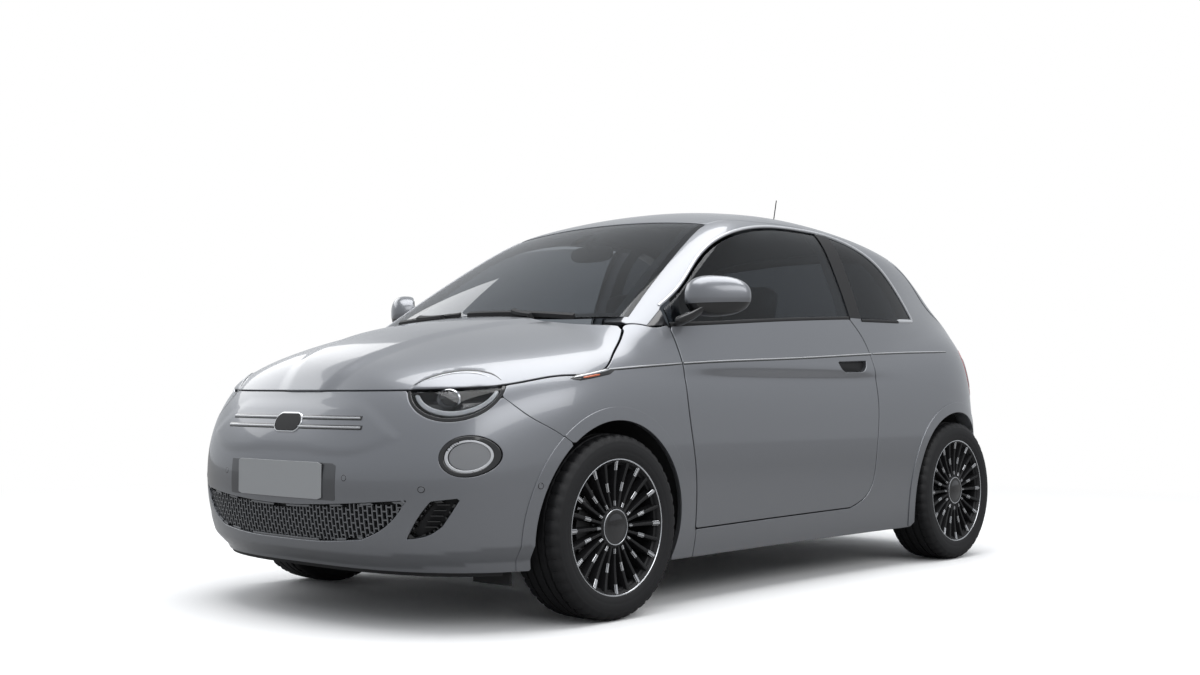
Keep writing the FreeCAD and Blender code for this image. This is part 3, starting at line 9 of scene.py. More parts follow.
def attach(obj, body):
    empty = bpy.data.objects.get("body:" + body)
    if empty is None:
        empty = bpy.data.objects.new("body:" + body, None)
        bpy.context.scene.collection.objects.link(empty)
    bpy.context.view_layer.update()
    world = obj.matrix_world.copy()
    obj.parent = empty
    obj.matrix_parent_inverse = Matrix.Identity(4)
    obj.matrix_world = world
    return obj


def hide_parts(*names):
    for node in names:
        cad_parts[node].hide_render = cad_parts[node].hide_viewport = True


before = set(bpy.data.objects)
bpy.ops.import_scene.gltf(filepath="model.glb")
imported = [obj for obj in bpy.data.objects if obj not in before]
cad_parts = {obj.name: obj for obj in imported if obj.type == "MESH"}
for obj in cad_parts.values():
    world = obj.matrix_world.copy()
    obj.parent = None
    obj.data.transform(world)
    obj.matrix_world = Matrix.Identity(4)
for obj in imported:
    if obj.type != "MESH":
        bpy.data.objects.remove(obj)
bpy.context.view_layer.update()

bl_info = {
    "name": "Small hatchback car",
    "version": (1, 0, 0),
    "blender": (4, 5, 0),
    "location": "View3D > Sidebar > Hatchback",
    "description": "Dresses the packed hatchback car: panels, glass, lamps, wheels and cabin",
    "category": "Object",
}

MM = 0.001
ROOT = "car"
SIDES = {"left": 1.0, "right": -1.0}
CORNERS = ("front_left", "front_right", "rear_left", "rear_right")


# Sizes and colours that a user would change
class BodySizes(bpy.types.PropertyGroup):
    grid: bpy.props.FloatProperty(name="Grid", description="Spacing of the body's mesh", default=13.5 * MM,
                                  min=4 * MM, max=40 * MM, unit="LENGTH")
    round_edge: bpy.props.FloatProperty(name="Edge radius", description="Radius of a panel's folded edge",
                                        default=2.6 * MM, min=0.5 * MM, max=8 * MM, unit="LENGTH")
    close_up: bpy.props.FloatProperty(name="Gap trim",
                                      description="How far each panel reaches into its gap",
                                      default=0.9 * MM, min=0.0, max=2 * MM, unit="LENGTH")


class Colours(bpy.types.PropertyGroup):
    paint: bpy.props.FloatVectorProperty(name="Paint", description="Body colour", subtype="COLOR",
                                         default=(0.228, 0.236, 0.254), min=0, max=1)
    glass: bpy.props.FloatVectorProperty(name="Glass", description="Tint of the windows", subtype="COLOR",
                                         default=(0.30, 0.32, 0.34), min=0, max=1)
    dark_glass: bpy.props.FloatVectorProperty(name="Dark glass", description="Tint of the rear windows",
                                              subtype="COLOR", default=(0.10, 0.11, 0.12), min=0, max=1)
    cloth: bpy.props.FloatVectorProperty(name="Cloth", description="Colour of the seats", subtype="COLOR",
                                         default=(0.05, 0.052, 0.056), min=0, max=1)


class StageSizes(bpy.types.PropertyGroup):
    eye: bpy.props.FloatVectorProperty(name="Camera", description="Place of the camera", subtype="XYZ",
                                       default=(4.55597, 3.91477, 0.75848))
    heading: bpy.props.FloatProperty(name="Heading", description="Way the camera looks, from +X",
                                     subtype="ANGLE", default=3.87754)
    climb: bpy.props.FloatProperty(name="Climb", description="Upward tilt of the camera", subtype="ANGLE",
                                   default=0.03774)
    view_angle: bpy.props.FloatProperty(name="View angle", description="Width of the camera's view",
                                        subtype="ANGLE", default=2 * math.atan(600 / 1407.6))
    floor_clear: bpy.props.FloatProperty(name="Floor fade",
                                         description="Distance at which the floor is plain white",
                                         default=6.5, min=1, unit="LENGTH")
    sky: bpy.props.FloatProperty(name="Sky", description="Strength of the even light all round",
                                 default=0.62, min=0)


# The body's form, in millimetres: curves along it, and surfaces made from them
class Curve:
    """A smooth curve through its knots, straight beyond both ends."""

    def __init__(self, knots):
        knots = sorted(knots)
        self.x = np.array([k[0] for k in knots], float)
        self.y = np.array([k[1] for k in knots], float)
        n = len(knots)
        gap = np.diff(self.x)
        rows = np.eye(n)
        right = np.zeros(n)
        for i in range(1, n - 1):
            rows[i, i - 1:i + 2] = gap[i - 1], 2 * (gap[i - 1] + gap[i]), gap[i]
            right[i] = 6 * ((self.y[i + 1] - self.y[i]) / gap[i] - (self.y[i] - self.y[i - 1]) / gap[i - 1])
        self.bend = np.linalg.solve(rows, right)
        self.gap = gap
        self.first = (self.y[1] - self.y[0]) / gap[0] - gap[0] * self.bend[1] / 6
        self.last = (self.y[-1] - self.y[-2]) / gap[-1] + gap[-1] * self.bend[-2] / 6

    def __call__(self, x):
        i = np.clip(np.searchsorted(self.x, x) - 1, 0, len(self.gap) - 1)
        h = self.gap[i]
        a = (self.x[i + 1] - x) / h
        b = 1 - a
        inside = (a * self.y[i] + b * self.y[i + 1]
                  + ((a ** 3 - a) * self.bend[i] + (b ** 3 - b) * self.bend[i + 1]) * h * h / 6)
        before = self.y[0] + self.first * (x - self.x[0])
        after = self.y[-1] + self.last * (x - self.x[-1])
        return np.where(x < self.x[0], before, np.where(x > self.x[-1], after, inside))


nose = Curve([(150, 1728), (250, 1782), (350, 1808), (450, 1816), (560, 1806), (660, 1778), (760, 1742),
              (860, 1706), (1000, 1650)])
tail = Curve([(150, -1736), (300, -1792), (450, -1815), (550, -1815), (650, -1803), (800, -1778),
              (950, -1738), (1080, -1690), (1200, -1640)])
plan = Curve([(-1500, 838), (-1261, 836), (-700, 816), (-100, 806), (500, 812), (1061, 832), (1400, 838)])
barrel = Curve([(150, -46), (230, -26), (330, -11), (480, 0), (620, -2), (760, -10), (870, -26), (940, -44),
                (1020, -76), (1100, -118)])
hood = Curve([(600, 1052), (950, 1030), (1200, 990), (1400, 940), (1550, 885), (1650, 838), (1750, 770),
              (1850, 680)])
roofline = Curve([(1150, 905), (950, 1022), (800, 1115), (600, 1236), (400, 1350), (200, 1447), (0, 1503),
                  (-250, 1527), (-600, 1519), (-900, 1488), (-1150, 1444), (-1350, 1395)])
glass_side = Curve([(1000, 730), (800, 745), (500, 758), (-100, 766), (-600, 756), (-1100, 716),
                    (-1500, 622), (-1700, 568)])
tumble = Curve([(900, 26), (1000, 0), (1100, -32), (1200, -70), (1300, -112), (1400, -162), (1480, -210)])
back = Curve([(1500, -1215), (1400, -1292), (1240, -1465), (1080, -1650), (1000, -1712), (900, -1742),
              (800, -1752)])
POWER = 2.9
NOSE_FROM, TAIL_FROM = 1061.0, -1100.0
HUB_X = {"front": 1061.0, "rear": -1261.0}
HUB_Z = 308.0


def smooth_max(a, b, k):
    h = np.maximum(k - np.abs(a - b), 0) / k
    return np.maximum(a, b) + h ** 3 * k / 6


def smooth_min(a, b, k):
    return -smooth_max(-a, -b, k)


def step(a, b, x):
    t = np.clip((x - a) / (b - a), 0, 1)
    return t * t * (3 - 2 * t)


def ring_form(x, y, z):
    side = plan(x) + barrel(z)
    t = np.where(x > NOSE_FROM, (x - NOSE_FROM) / (nose(z) - NOSE_FROM),
                 np.where(x < TAIL_FROM, (TAIL_FROM - x) / (TAIL_FROM - tail(z)), 0.0))
    return ((np.abs(y) / side) ** POWER + np.abs(t) ** POWER) ** (1 / POWER) - 1


def hood_form(x, y, z):
    return z - (hood(x) - 120 * (np.abs(y) / 750) ** 2.4)


def glass_form(x, y, z):
    return np.abs(y) - (glass_side(x) + tumble(z))


def roof_form(x, y, z):
    w = step(-150, 350, x)
    return z - (roofline(x + w * 120 * (y / 660) ** 2) - (1 - w) * 62 * (np.abs(y) / 560) ** 2.2)


def back_form(x, y, z):
    return back(z) + 100 * (y / 600) ** 2 - x


def even(form, x, y, z):
    """A form's value made about a distance."""
    v = form(x, y, z)
    gx, gy, gz = form(x + 1, y, z) - v, form(x, y + 1, z) - v, form(x, y, z + 1) - v
    return v / np.sqrt(gx * gx + gy * gy + gz * gz + 1e-18)


def skin(p):
    """Distance out of the car's smooth skin, in millimetres."""
    x, y, z = p[:, 0], p[:, 1], p[:, 2]
    low = smooth_max(even(ring_form, x, y, z), even(hood_form, x, y, z), 190)
    up = smooth_max(even(glass_form, x, y, z), even(roof_form, x, y, z), 130)
    up = smooth_max(up, even(back_form, x, y, z), 60)
    up = smooth_max(up, 820 - z, 60)
    return smooth_min(low, up, 30 + 110 * step(-900, -1400, x))


def slope(form, p, h=0.5):
    """The direction in which a form grows fastest, and how fast."""
    g = np.empty_like(p)
    for k in range(3):
        d = np.zeros(3)
        d[k] = h
        g[:, k] = (form(p + d) - form(p - d)) / (2 * h)
    size = np.linalg.norm(g, axis=1)
    return g / np.maximum(size, 1e-9)[:, None], size


def land(start, way, far, form):
    """Walks inwards from far along each ray until the form is met."""
    t = np.full(len(start), float(far))
    live = np.arange(len(t))
    for _ in range(50):
        q = form(start[live] + way[live] * t[live, None])
        t[live] -= q
        live = live[np.abs(q) > 0.02]
        if not len(live):
            break
    return start + way * t[:, None]


# Families of rays that cover the body
BEND = 600.0
STRAIGHT = (950.0, -1000.0)
NOSE_ROUND = 2 * STRAIGHT[0] + BEND * math.pi
TAIL_ROUND = 2 * STRAIGHT[1] - BEND * math.pi


def around(s, tilt, z):
    turn_front = np.clip((s - STRAIGHT[0]) / BEND, 0, math.pi)
    turn_back = np.clip((STRAIGHT[1] - s) / BEND, 0, math.pi)
    a = math.pi / 2 - turn_front + turn_back
    x = np.clip(s, STRAIGHT[1], STRAIGHT[0])
    x = np.where(s > STRAIGHT[0], STRAIGHT[0] - (s - STRAIGHT[0] - BEND * turn_front), x)
    x = np.where(s < STRAIGHT[1], STRAIGHT[1] + (STRAIGHT[1] - s - BEND * turn_back), x)
    start = np.stack([x, 0 * s, z + 0 * s], 1)
    way = np.stack([np.cos(tilt) * np.cos(a), np.cos(tilt) * np.sin(a), np.sin(tilt) + 0 * s], 1)
    return start, way


def side_rays(s, degrees):
    start, way = around(s, np.radians(degrees), 700.0)
    return start, way, 1250.0


def wall_rays(s, z):
    start, way = around(s, 0.0 * s, z)
    return start, way, 1150.0


def top_rays(x, y):
    start = np.stack([x, y, 0 * x + 500], 1)
    return start, np.tile([0.0, 0.0, 1.0], (len(x), 1)), 1150.0


def fan(origin, sign, azimuth, elevation):
    a, e = np.radians(azimuth), np.radians(elevation)
    way = np.stack([sign * np.cos(e) * np.cos(a), np.cos(e) * np.sin(a), np.sin(e)], 1)
    return np.tile(origin, (len(a), 1)), way


def hood_rays(azimuth, elevation):
    return fan((750.0, 0.0, 450.0), 1, azimuth, elevation) + (1350.0,)


def tail_rays(azimuth, elevation):
    return fan((-600.0, 0.0, 800.0), -1, azimuth, elevation) + (1300.0,)


# Outlines, as they are seen from the side, from above and from the front
SIDE, TOP, FRONT = (0, 2), (0, 1), (1, 2)


def bent(run, pitch=10.0):
    """A run of points as a dense smooth line: two points a line, more a curve."""
    run = np.array(run, float)
    if len(run) == 2:
        return run
    along = np.concatenate([[0], np.cumsum(np.linalg.norm(np.diff(run, axis=0), axis=1))])
    t = np.linspace(0, along[-1], max(int(along[-1] / pitch), 2) + 1)
    return np.stack([Curve(list(zip(along, run[:, 0])))(t), Curve(list(zip(along, run[:, 1])))(t)], 1)


def outline(*runs):
    """A closed outline from runs that meet, or are joined by straight lines."""
    points = np.concatenate([bent(r) for r in runs])
    keep = np.linalg.norm(points - np.roll(points, 1, axis=0), axis=1) > 1e-6
    return points[keep]


def flat_distance(points, q, chunk=1500, far=45.0):
    """Signed distance from an outline: below zero inside. Far beyond it, the distance from its box."""
    a, b = points, np.roll(points, -1, axis=0)
    ab = b - a
    length = np.maximum((ab * ab).sum(1), 1e-9)
    whole, beyond = q, np.maximum(points.min(0) - q, q - points.max(0)).max(1)
    near = np.flatnonzero(beyond < far)
    q = whole[near]
    out = np.empty(len(q))
    for i in range(0, len(q), chunk):
        p = q[i:i + chunk, None, :]
        t = np.clip(((p - a) * ab).sum(2) / length, 0, 1)
        d = np.linalg.norm(p - a - ab * t[..., None], axis=2).min(1)
        rising = (a[:, 1] <= p[..., 1]) != (b[:, 1] <= p[..., 1])
        across = a[:, 0] + (p[..., 1] - a[:, 1]) * ab[:, 0] / np.where(ab[:, 1] == 0, 1e-9, ab[:, 1])
        odd = (rising & (p[..., 0] < across)).sum(1) % 2
        out[i:i + chunk] = np.where(odd == 1, -d, d)
    beyond[near] = out
    return beyond


def inside(shape, view, grow=0.0, side=0.0):
    """A test of points: below zero within the outline, seen along the view. side limits it to one side."""
    view = list(view)

    def test(p):
        d = flat_distance(shape, p[:, view]) - grow
        return np.maximum(d, -side * p[:, 1]) if side else d
    return test


def outside(test):
    return lambda p: -test(p)


def all_of(*tests):
    """Within every test. A point far outside one isn't asked about the rest."""
    def test(p):
        out = tests[0](p)
        for t in tests[1:]:
            open_still = np.flatnonzero(out < 40)
            out[open_still] = np.maximum(out[open_still], t(p[open_still]))
        return out
    return test


def round_from(view, centre, radius):
    return lambda p: np.linalg.norm(p[:, view] - np.array(centre), axis=1) - radius


def block_test(half, low, high):
    """An upright block across the middle: its half width and its heights."""
    return lambda p: np.maximum(np.abs(p[:, 1]) - half, np.maximum(low - p[:, 2], p[:, 2] - high))


def pill_test(half, radius, z, y=0.0):
    """A lying bar with round ends, seen from the front, at a distance y to each side of the middle."""
    return lambda p: np.hypot(np.maximum(np.abs(np.abs(p[:, 1]) - y) - half, 0), p[:, 2] - z) - radius


def above(z):
    return lambda p: z - p[:, 2]


def mirrored_test(test):
    return lambda p: test(p * np.array([1.0, -1.0, 1.0]))


def flip(points):
    return [(-a, b) for a, b in reversed(points)]


def flip_plan(points):
    return [(a, -b) for a, b in reversed(points)]


def sweep(f, y0, y1, n=9):
    return [(f(y), y) for y in np.linspace(y0, y1, n)]


GAP = 6.0
ARCH = 352.0
ARCH_BACK = 5.0
SINK = 3.0
PANE = 5.0
BAND_WIDE = 46.0

door_front = [(604, 271), (627, 513), (661, 726), (672, 895), (697, 985)]
door_rear = [(-499, 1056), (-583, 950), (-612, 803), (-618, 677), (-591, 490), (-550, 345), (-419, 282)]
belt = [(697, 985), (532, 995), (28, 1028), (-499, 1056)]
door_shape = outline(door_front, belt, door_rear, [(-419, 282), (604, 271)])
front_glass_top = [(700, 1053), (577, 1124), (399, 1249), (248, 1330), (38, 1392), (-202, 1423),
                   (-392, 1427), (-524, 1425)]
front_glass_low = [(-510, 1064), (28, 1034), (532, 1001), (700, 990)]
front_glass_shape = outline([(700, 990), (700, 1053)], front_glass_top, [(-524, 1425), (-510, 1064)],
                            front_glass_low)
pane_shape = outline([(690, 975), (690, 1050)],
                     [(690, 1050), (577, 1118), (399, 1242), (248, 1323), (38, 1385), (-202, 1416),
                      (-392, 1420), (-516, 1418)],
                     [(-516, 1418), (-506, 1030)], [(-506, 1030), (688, 970)])
triangle_shape = outline([(707, 991), (707, 1049)], [(707, 1049), (800, 985)], [(800, 985), (707, 991)])
quarter_top = [(-606, 1421), (-819, 1367), (-936, 1297), (-1027, 1188), (-1095, 1070)]
quarter_shape = outline(quarter_top, [(-1095, 1070), (-594, 1066)], [(-594, 1066), (-606, 1421)])
pillar_shape = outline([(-503, 1428), (-609, 1424)], [(-609, 1424), (-597, 1063)],
                       [(-597, 1063), (-507, 1063)], [(-507, 1063), (-503, 1428)])


def hood_rear(y):
    return 985 - 104 * (y / 680) ** 2


def glass_foot(y):
    return 944 - 108 * (y / 640) ** 2


def header(y):
    return 202 - 12 * (y / 512) ** 2


shield_side = [(826, 668), (671, 627), (424, 568), (190, 512)]
shield_shape = outline(sweep(glass_foot, -668, 668), shield_side, sweep(header, 512, -512),
                       flip_plan(shield_side))
roof_side = [(190, 520), (0, 535), (-400, 545), (-800, 540), (-1162, 522)]
roof_shape = outline(sweep(lambda y: header(y) - 1, -520, 520), roof_side, flip_plan(roof_side))
pillar_in = [(1000, 700), (826, 654), (671, 613), (424, 554), (190, 520)]
top_room = outline([(1000, -700), (1000, 700)], pillar_in, roof_side, [(-1162, 522), (-1400, 510)],
                   [(-1400, 510), (-1400, -510)], flip_plan(roof_side), flip_plan(pillar_in))
tailgate_side = [(540, 592), (553, 700), (560, 850), (574, 960), (598, 1060), (600, 1150), (562, 1330),
                 (520, 1480)]
tailgate_shape = outline(tailgate_side, [(520, 1560), (-520, 1560)], flip(tailgate_side))
rear_glass_side = [(520, 1075), (535, 1120), (520, 1230), (455, 1385)]
rear_glass_shape = outline([(-520, 1075), (0, 1062), (520, 1075)], rear_glass_side,
                           [(455, 1385), (0, 1408), (-455, 1385)], flip(rear_glass_side))
wing_line = [(1495, 742), (1431, 679), (1348, 634), (1277, 592)]
wing_top = [(892, 969), (942, 925), (1009, 879), (1080, 834), (1283, 809), (1470, 779)]
wing_shape = outline([(892, 969), (866, 987), (772, 980), (714, 989)], door_front[::-1],
                     [(604, 271), (598, 166)], [(598, 166), (800, 166)], [(800, 166), (1061, 300)],
                     [(1061, 300), (1240, 560)], wing_line[::-1], [(1495, 742), (1520, 775)],
                     [(1520, 775), (1470, 779)], wing_top[::-1])
bumper_shape = outline([(1470, 779), (1577, 767)], [(1577, 767), (1640, 763), (1900, 761)],
                       [(1900, 761), (1900, 60)], [(1900, 60), (1200, 60)], [(1200, 60), (1061, 300)],
                       [(1061, 300), (1240, 560)], wing_line[::-1], [(1495, 742), (1470, 779)])
hood_shape = outline(wing_top + [(1577, 767)], [(1577, 767), (1640, 763), (1900, 761)],
                     [(1900, 761), (1900, 1300)], [(1900, 1300), (700, 1300)], [(700, 1300), (892, 969)])
hood_plan = outline(sweep(hood_rear, -860, 860), [(hood_rear(860), 860), (2000, 900)],
                    [(2000, 900), (2000, -900)], [(2000, -900), (hood_rear(860), -860)])
frame_shape = outline([(-2000, 592), (-1640, 592)], [(-1640, 592), (-1500, 560), (-1420, 500)],
                      [(-1420, 500), (-1261, 400)], [(-1261, 400), (-905, 165)], [(-905, 165), (640, 165)],
                      [(640, 165), (640, 560)], [(640, 560), (690, 700), (790, 850), (852, 985)],
                      [(852, 985), (900, 1060)], [(900, 1060), (700, 1600)], [(700, 1600), (-2000, 1600)],
                      [(-2000, 1600), (-2000, 592)])
rear_bumper_shape = outline([(-2000, 586), (-1640, 586)], [(-1640, 586), (-1500, 554), (-1420, 494)],
                            [(-1420, 494), (-1261, 400)], [(-1261, 400), (-1400, 60)],
                            [(-1400, 60), (-2000, 60)], [(-2000, 60), (-2000, 586)])
grille_side = [(548, 419), (517, 375), (460, 326), (377, 290)]
grille_shape = outline([(-548, 419), (-355, 404), (0, 388), (355, 404), (548, 419)], grille_side,
                       [(377, 290), (193, 275), (0, 273), (-193, 275), (-377, 290)], flip(grille_side))
vent_shape = outline([(616, 417), (687, 427)], [(687, 427), (662, 378), (639, 340)],
                     [(639, 340), (606, 315), (537, 298)], [(537, 298), (556, 330), (586, 377), (616, 417)])
pull_shape = outline([(-330, 876), (-553, 883)], [(-553, 883), (-540, 850), (-510, 835)],
                     [(-510, 835), (-385, 832)], [(-385, 832), (-350, 848), (-330, 876)])
ROUND_LAMP = (697.0, 556.0)
ROUND_LAMP_RADIUS = 64.0
LAMP_TURN = math.radians(30)
LAMP_MIDDLE = (1600.0, 600.0)
LAMP_START = 600 * math.cos(LAMP_TURN) - 1600 * math.sin(LAMP_TURN)
LAMP_U, LAMP_Z, LAMP_A, LAMP_B = -267.5, 772.0, 156.0, 110.0
TAIL_TURN = math.radians(140)
TAIL_LAMP = (-1560.0, 700.0, 840.0)
TAIL_A, TAIL_B = 105.0, 112.0


def head_lamp_test(grow):
    """The head lamp's ellipse, seen along a line turned from straight ahead."""
    c, s = math.cos(LAMP_TURN), math.sin(LAMP_TURN)

    def test(p):
        u = (p[:, 1] - LAMP_MIDDLE[1]) * c - (p[:, 0] - LAMP_MIDDLE[0]) * s + LAMP_START - LAMP_U
        v = p[:, 2] - LAMP_Z
        a, b = LAMP_A + grow, LAMP_B + grow
        r = np.sqrt((u / a) ** 2 + (v / b) ** 2)
        steep = np.sqrt((u / a ** 2) ** 2 + (v / b ** 2) ** 2) / np.maximum(r, 1e-6)
        near = np.maximum((r - 1) / np.maximum(steep, 1e-6), -60)
        return np.where((p[:, 0] > 1000) & (p[:, 1] > 0), near, 99.0)
    return test


def tail_lamp_test(grow):
    c, s = math.cos(TAIL_TURN), math.sin(TAIL_TURN)
    power = 2 / 0.7

    def test(p):
        u = (p[:, 0] - TAIL_LAMP[0]) * s - (p[:, 1] - TAIL_LAMP[1]) * c
        v = p[:, 2] - TAIL_LAMP[2]
        a, b = TAIL_A + grow, TAIL_B + grow
        r = ((np.abs(u) / a) ** power + (np.abs(v) / b) ** power) ** (1 / power)
        near = (r - 1) * 0.5 * (a + b)
        return np.where((p[:, 0] < -1300) & (p[:, 1] > 0), near, 99.0)
    return test


# Meshes from the form
def cut_grid(rays, us, vs, form, test, edge):
    """The part of a grid of rays that lies within a test, at a distance edge inside its border."""
    uu, vv = np.meshgrid(us, vs, indexing="ij")
    uv = np.stack([uu.ravel(), vv.ravel()], 1)

    def place(w):
        start, way, far = rays(w[:, 0], w[:, 1])
        return land(start, way, far, form)

    def value(p):
        f = test(p)
        near = np.abs(f) < 25
        if near.any() and edge:
            q = p[near]
            normal, _ = slope(form, q)
            g, size = slope(test, q)
            g = g * size[:, None]
            g -= normal * (g * normal).sum(1)[:, None]
            f[near] = f[near] / np.clip(np.linalg.norm(g, axis=1), 0.3, 1.0)
        return f + edge

    points = place(uv)
    f = value(points)
    n, m = uu.shape
    index = np.arange(n * m).reshape(n, m)
    a, b, c, d = (index[:-1, :-1].ravel(), index[1:, :-1].ravel(), index[1:, 1:].ravel(),
                  index[:-1, 1:].ravel())
    faces = np.concatenate([np.stack([a, b, c], 1), np.stack([a, c, d], 1)])
    out = f[faces] >= 0
    count = out.sum(1)
    whole = faces[count == 0]
    pieces = []
    for number, odd_out in ((1, True), (2, False)):
        part, flags = faces[count == number], out[count == number]
        if not odd_out:
            flags = ~flags
        first = flags.argmax(1)
        rows = np.arange(len(part))
        pieces.append((np.stack([part[rows, first], part[rows, (first + 1) % 3],
                                 part[rows, (first + 2) % 3]], 1), odd_out))
    edges = np.concatenate([np.concatenate([t[:, [0, 1]], t[:, [0, 2]]]) for t, _ in pieces])
    keys = np.sort(edges, axis=1)
    unique, back_to = np.unique(keys, axis=0, return_inverse=True)
    back_to = back_to.ravel()
    lo, hi = uv[unique[:, 0]], uv[unique[:, 1]]
    f_lo, f_hi = f[unique[:, 0]], f[unique[:, 1]]
    t_lo, t_hi = np.zeros(len(unique)), np.ones(len(unique))
    for turn in range(7):
        t = np.clip(t_lo + (t_hi - t_lo) * f_lo / (f_lo - f_hi), t_lo + 0.02 * (t_hi - t_lo),
                    t_hi - 0.02 * (t_hi - t_lo)) if turn < 4 else (t_lo + t_hi) / 2
        where = lo + (hi - lo) * t[:, None]
        p = place(where)
        f_new = value(p)
        same = (f_new >= 0) == (f_lo >= 0)
        t_lo, f_lo = np.where(same, t, t_lo), np.where(same, f_new, f_lo)
        t_hi, f_hi = np.where(same, t_hi, t), np.where(same, f_hi, f_new)
    t = np.clip(t_lo + (t_hi - t_lo) * f_lo / np.where(f_lo == f_hi, 1, f_lo - f_hi), 0, 1)
    cut_points = place(lo + (hi - lo) * t[:, None])
    new = len(points) + back_to
    made, start = [whole], 0
    for tri, odd_out in pieces:
        k = len(tri)
        p01, p02 = new[start:start + k], new[start + k:start + 2 * k]
        start += 2 * k
        if odd_out:
            made.append(np.stack([p01, tri[:, 1], tri[:, 2]], 1))
            made.append(np.stack([p01, tri[:, 2], p02], 1))
        else:
            made.append(np.stack([tri[:, 0], p01, p02], 1))
    faces = np.concatenate(made)
    points = np.concatenate([points, cut_points])
    used = np.unique(faces)
    renumber = np.full(len(points), -1)
    renumber[used] = np.arange(len(used))
    return points[used], renumber[faces]


def merged(points, faces, reach=0.05):
    """Joins points that fall together, so that the border has no slivers."""
    key = np.round(points / reach).astype(np.int64)
    _, first, back_to = np.unique(key, axis=0, return_index=True, return_inverse=True)
    faces = back_to.ravel()[faces]
    good = (faces[:, 0] != faces[:, 1]) & (faces[:, 1] != faces[:, 2]) & (faces[:, 0] != faces[:, 2])
    return points[first], faces[good]


def border_of(faces):
    edges = np.concatenate([faces[:, [0, 1]], faces[:, [1, 2]], faces[:, [2, 0]]])
    _, index, number = np.unique(np.sort(edges, axis=1), axis=0, return_index=True, return_counts=True)
    return edges[index[number == 1]]


def new_object(name, data):
    piece = bpy.data.objects.new(name, data)
    bpy.context.scene.collection.objects.link(piece)
    return piece


def to_mesh(name, points, faces, normals, finish):
    mesh = bpy.data.meshes.new(name)
    mesh.from_pydata((points * MM).tolist(), [], [list(f) for f in faces])
    mesh.polygons.foreach_set("use_smooth", [True] * len(mesh.polygons))
    mesh.normals_split_custom_set_from_vertices(normals.tolist())
    mesh.materials.append(material(finish))
    return new_object(name, mesh)


def rides(piece, body, node=None):
    """Puts a piece on its body, in place of a CAD node, with its slot."""
    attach(piece, body)
    if node:
        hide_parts(node)


def panel(name, finish, rays, us, vs, test, deep, body, node=None, slot=None, **form):
    """A panel on the skin, in place of a CAD node."""
    points, normals, faces = pressed(rays, us, vs, test, deep, **form)
    rides(to_mesh(name, points, faces, normals, finish), body, node)


def both_sides(name, body, node):
    """For each side: its name, its sign, and its body and node. In these, @ stands for left or right."""
    for side, sign in SIDES.items():
        yield name + "_" + side, sign, body.replace("@", side), node and node.replace("@", side)


def pair(name, finish, rays, us, vs, test, deep, body, node=None, slot=None, **form):
    """A panel on each side: the right-hand one is the left-hand pressing mirrored."""
    points, normals, faces = pressed(rays, us, vs, test, deep, **form)
    for name, sign, body, node in both_sides(name, body, node):
        mirror, order = [1, sign, 1], int(sign)
        rides(to_mesh(name, points * mirror, faces[:, ::order], normals * mirror, finish), body, node)


def pressed(rays, us, vs, test, deep, level=0.0, edge=None, relief=None, down=None):
    """A pressing: rounded edges, folded walls and an inner face."""
    radius = bpy.context.scene.body_sizes.round_edge / MM if edge is None else edge

    def form(p):
        value = skin(p) - level
        return value - relief(p) if relief else value

    points, faces = merged(*cut_grid(rays, us, vs, form, test, radius))
    normals, _ = slope(form, points)
    first = faces[:3000]
    facing = np.cross(points[first[:, 1]] - points[first[:, 0]], points[first[:, 2]] - points[first[:, 0]])
    if (facing * normals[first[:, 0]]).sum() < 0:
        faces = faces[:, ::-1]
    rim = border_of(faces)
    ids = np.unique(rim)
    spot = np.full(len(points), -1)
    spot[ids] = np.arange(len(ids))
    p0, n0 = points[ids], normals[ids]
    grad, _ = slope(test, p0)
    out = grad - n0 * (grad * n0).sum(1)[:, None]
    for _ in range(2):
        total = out.copy()
        for i, j in ((0, 1), (1, 0)):
            np.add.at(total, spot[rim[:, i]], out[spot[rim[:, j]]])
        out = total / np.maximum(np.linalg.norm(total, axis=1), 1e-9)[:, None]
    drop = -n0 if down is None else down_way(n0, down, 1.3)
    all_points, all_normals, all_faces = [points], [normals], [faces]
    last = ids
    count = len(points)

    def wall(c, d):
        a, b = last[spot[rim[:, 0]]], last[spot[rim[:, 1]]]
        all_faces.append(np.concatenate([np.stack([b, a, d], 1), np.stack([b, d, c], 1)]))

    def ring(new_points, new_normals):
        nonlocal last, count
        all_points.append(new_points)
        all_normals.append(new_normals)
        now = count + np.arange(len(ids))
        wall(now[spot[rim[:, 1]]], now[spot[rim[:, 0]]])
        last = now
        count += len(ids)

    for degrees in ((30, 60, 90) if radius else ()):
        a = math.radians(degrees)
        ring(p0 + out * radius * math.sin(a) - n0 * radius * (1 - math.cos(a)),
             n0 * math.cos(a) + out * math.sin(a))
    side_point = p0 + out * radius
    foot = side_point + drop * deep
    ring(foot, out)
    ring(foot + drop * 0.01, drop)
    inner_drop = -normals if down is None else down_way(normals, down, 1.3)
    inner = points + inner_drop * deep
    ring(inner[ids] + drop * 0.01, drop)
    all_points.append(inner + inner_drop * 0.012)
    all_normals.append(-normals)
    all_faces.append(faces[:, ::-1] + count)
    wall(rim[:, 1] + count, rim[:, 0] + count)
    return np.concatenate(all_points), np.concatenate(all_normals), np.concatenate(all_faces)


def down_way(normals, way, most):
    """One direction for a wall, longer where the skin slants, so that the wall keeps its thickness."""
    way = np.array(way, float)
    lean = np.abs((normals * way).sum(1))
    return way[None, :] * np.minimum(1 / np.maximum(lean, 0.1), most)[:, None]


def spaced(a, b, pitch):
    return np.linspace(a, b, max(int(abs(b - a) / pitch), 1) + 1)


def grid_and_trim():
    """The spacing of the body's mesh and the reach of a panel into its gap, in millimetres."""
    sizes = bpy.context.scene.body_sizes
    return sizes.grid / MM, sizes.close_up / MM


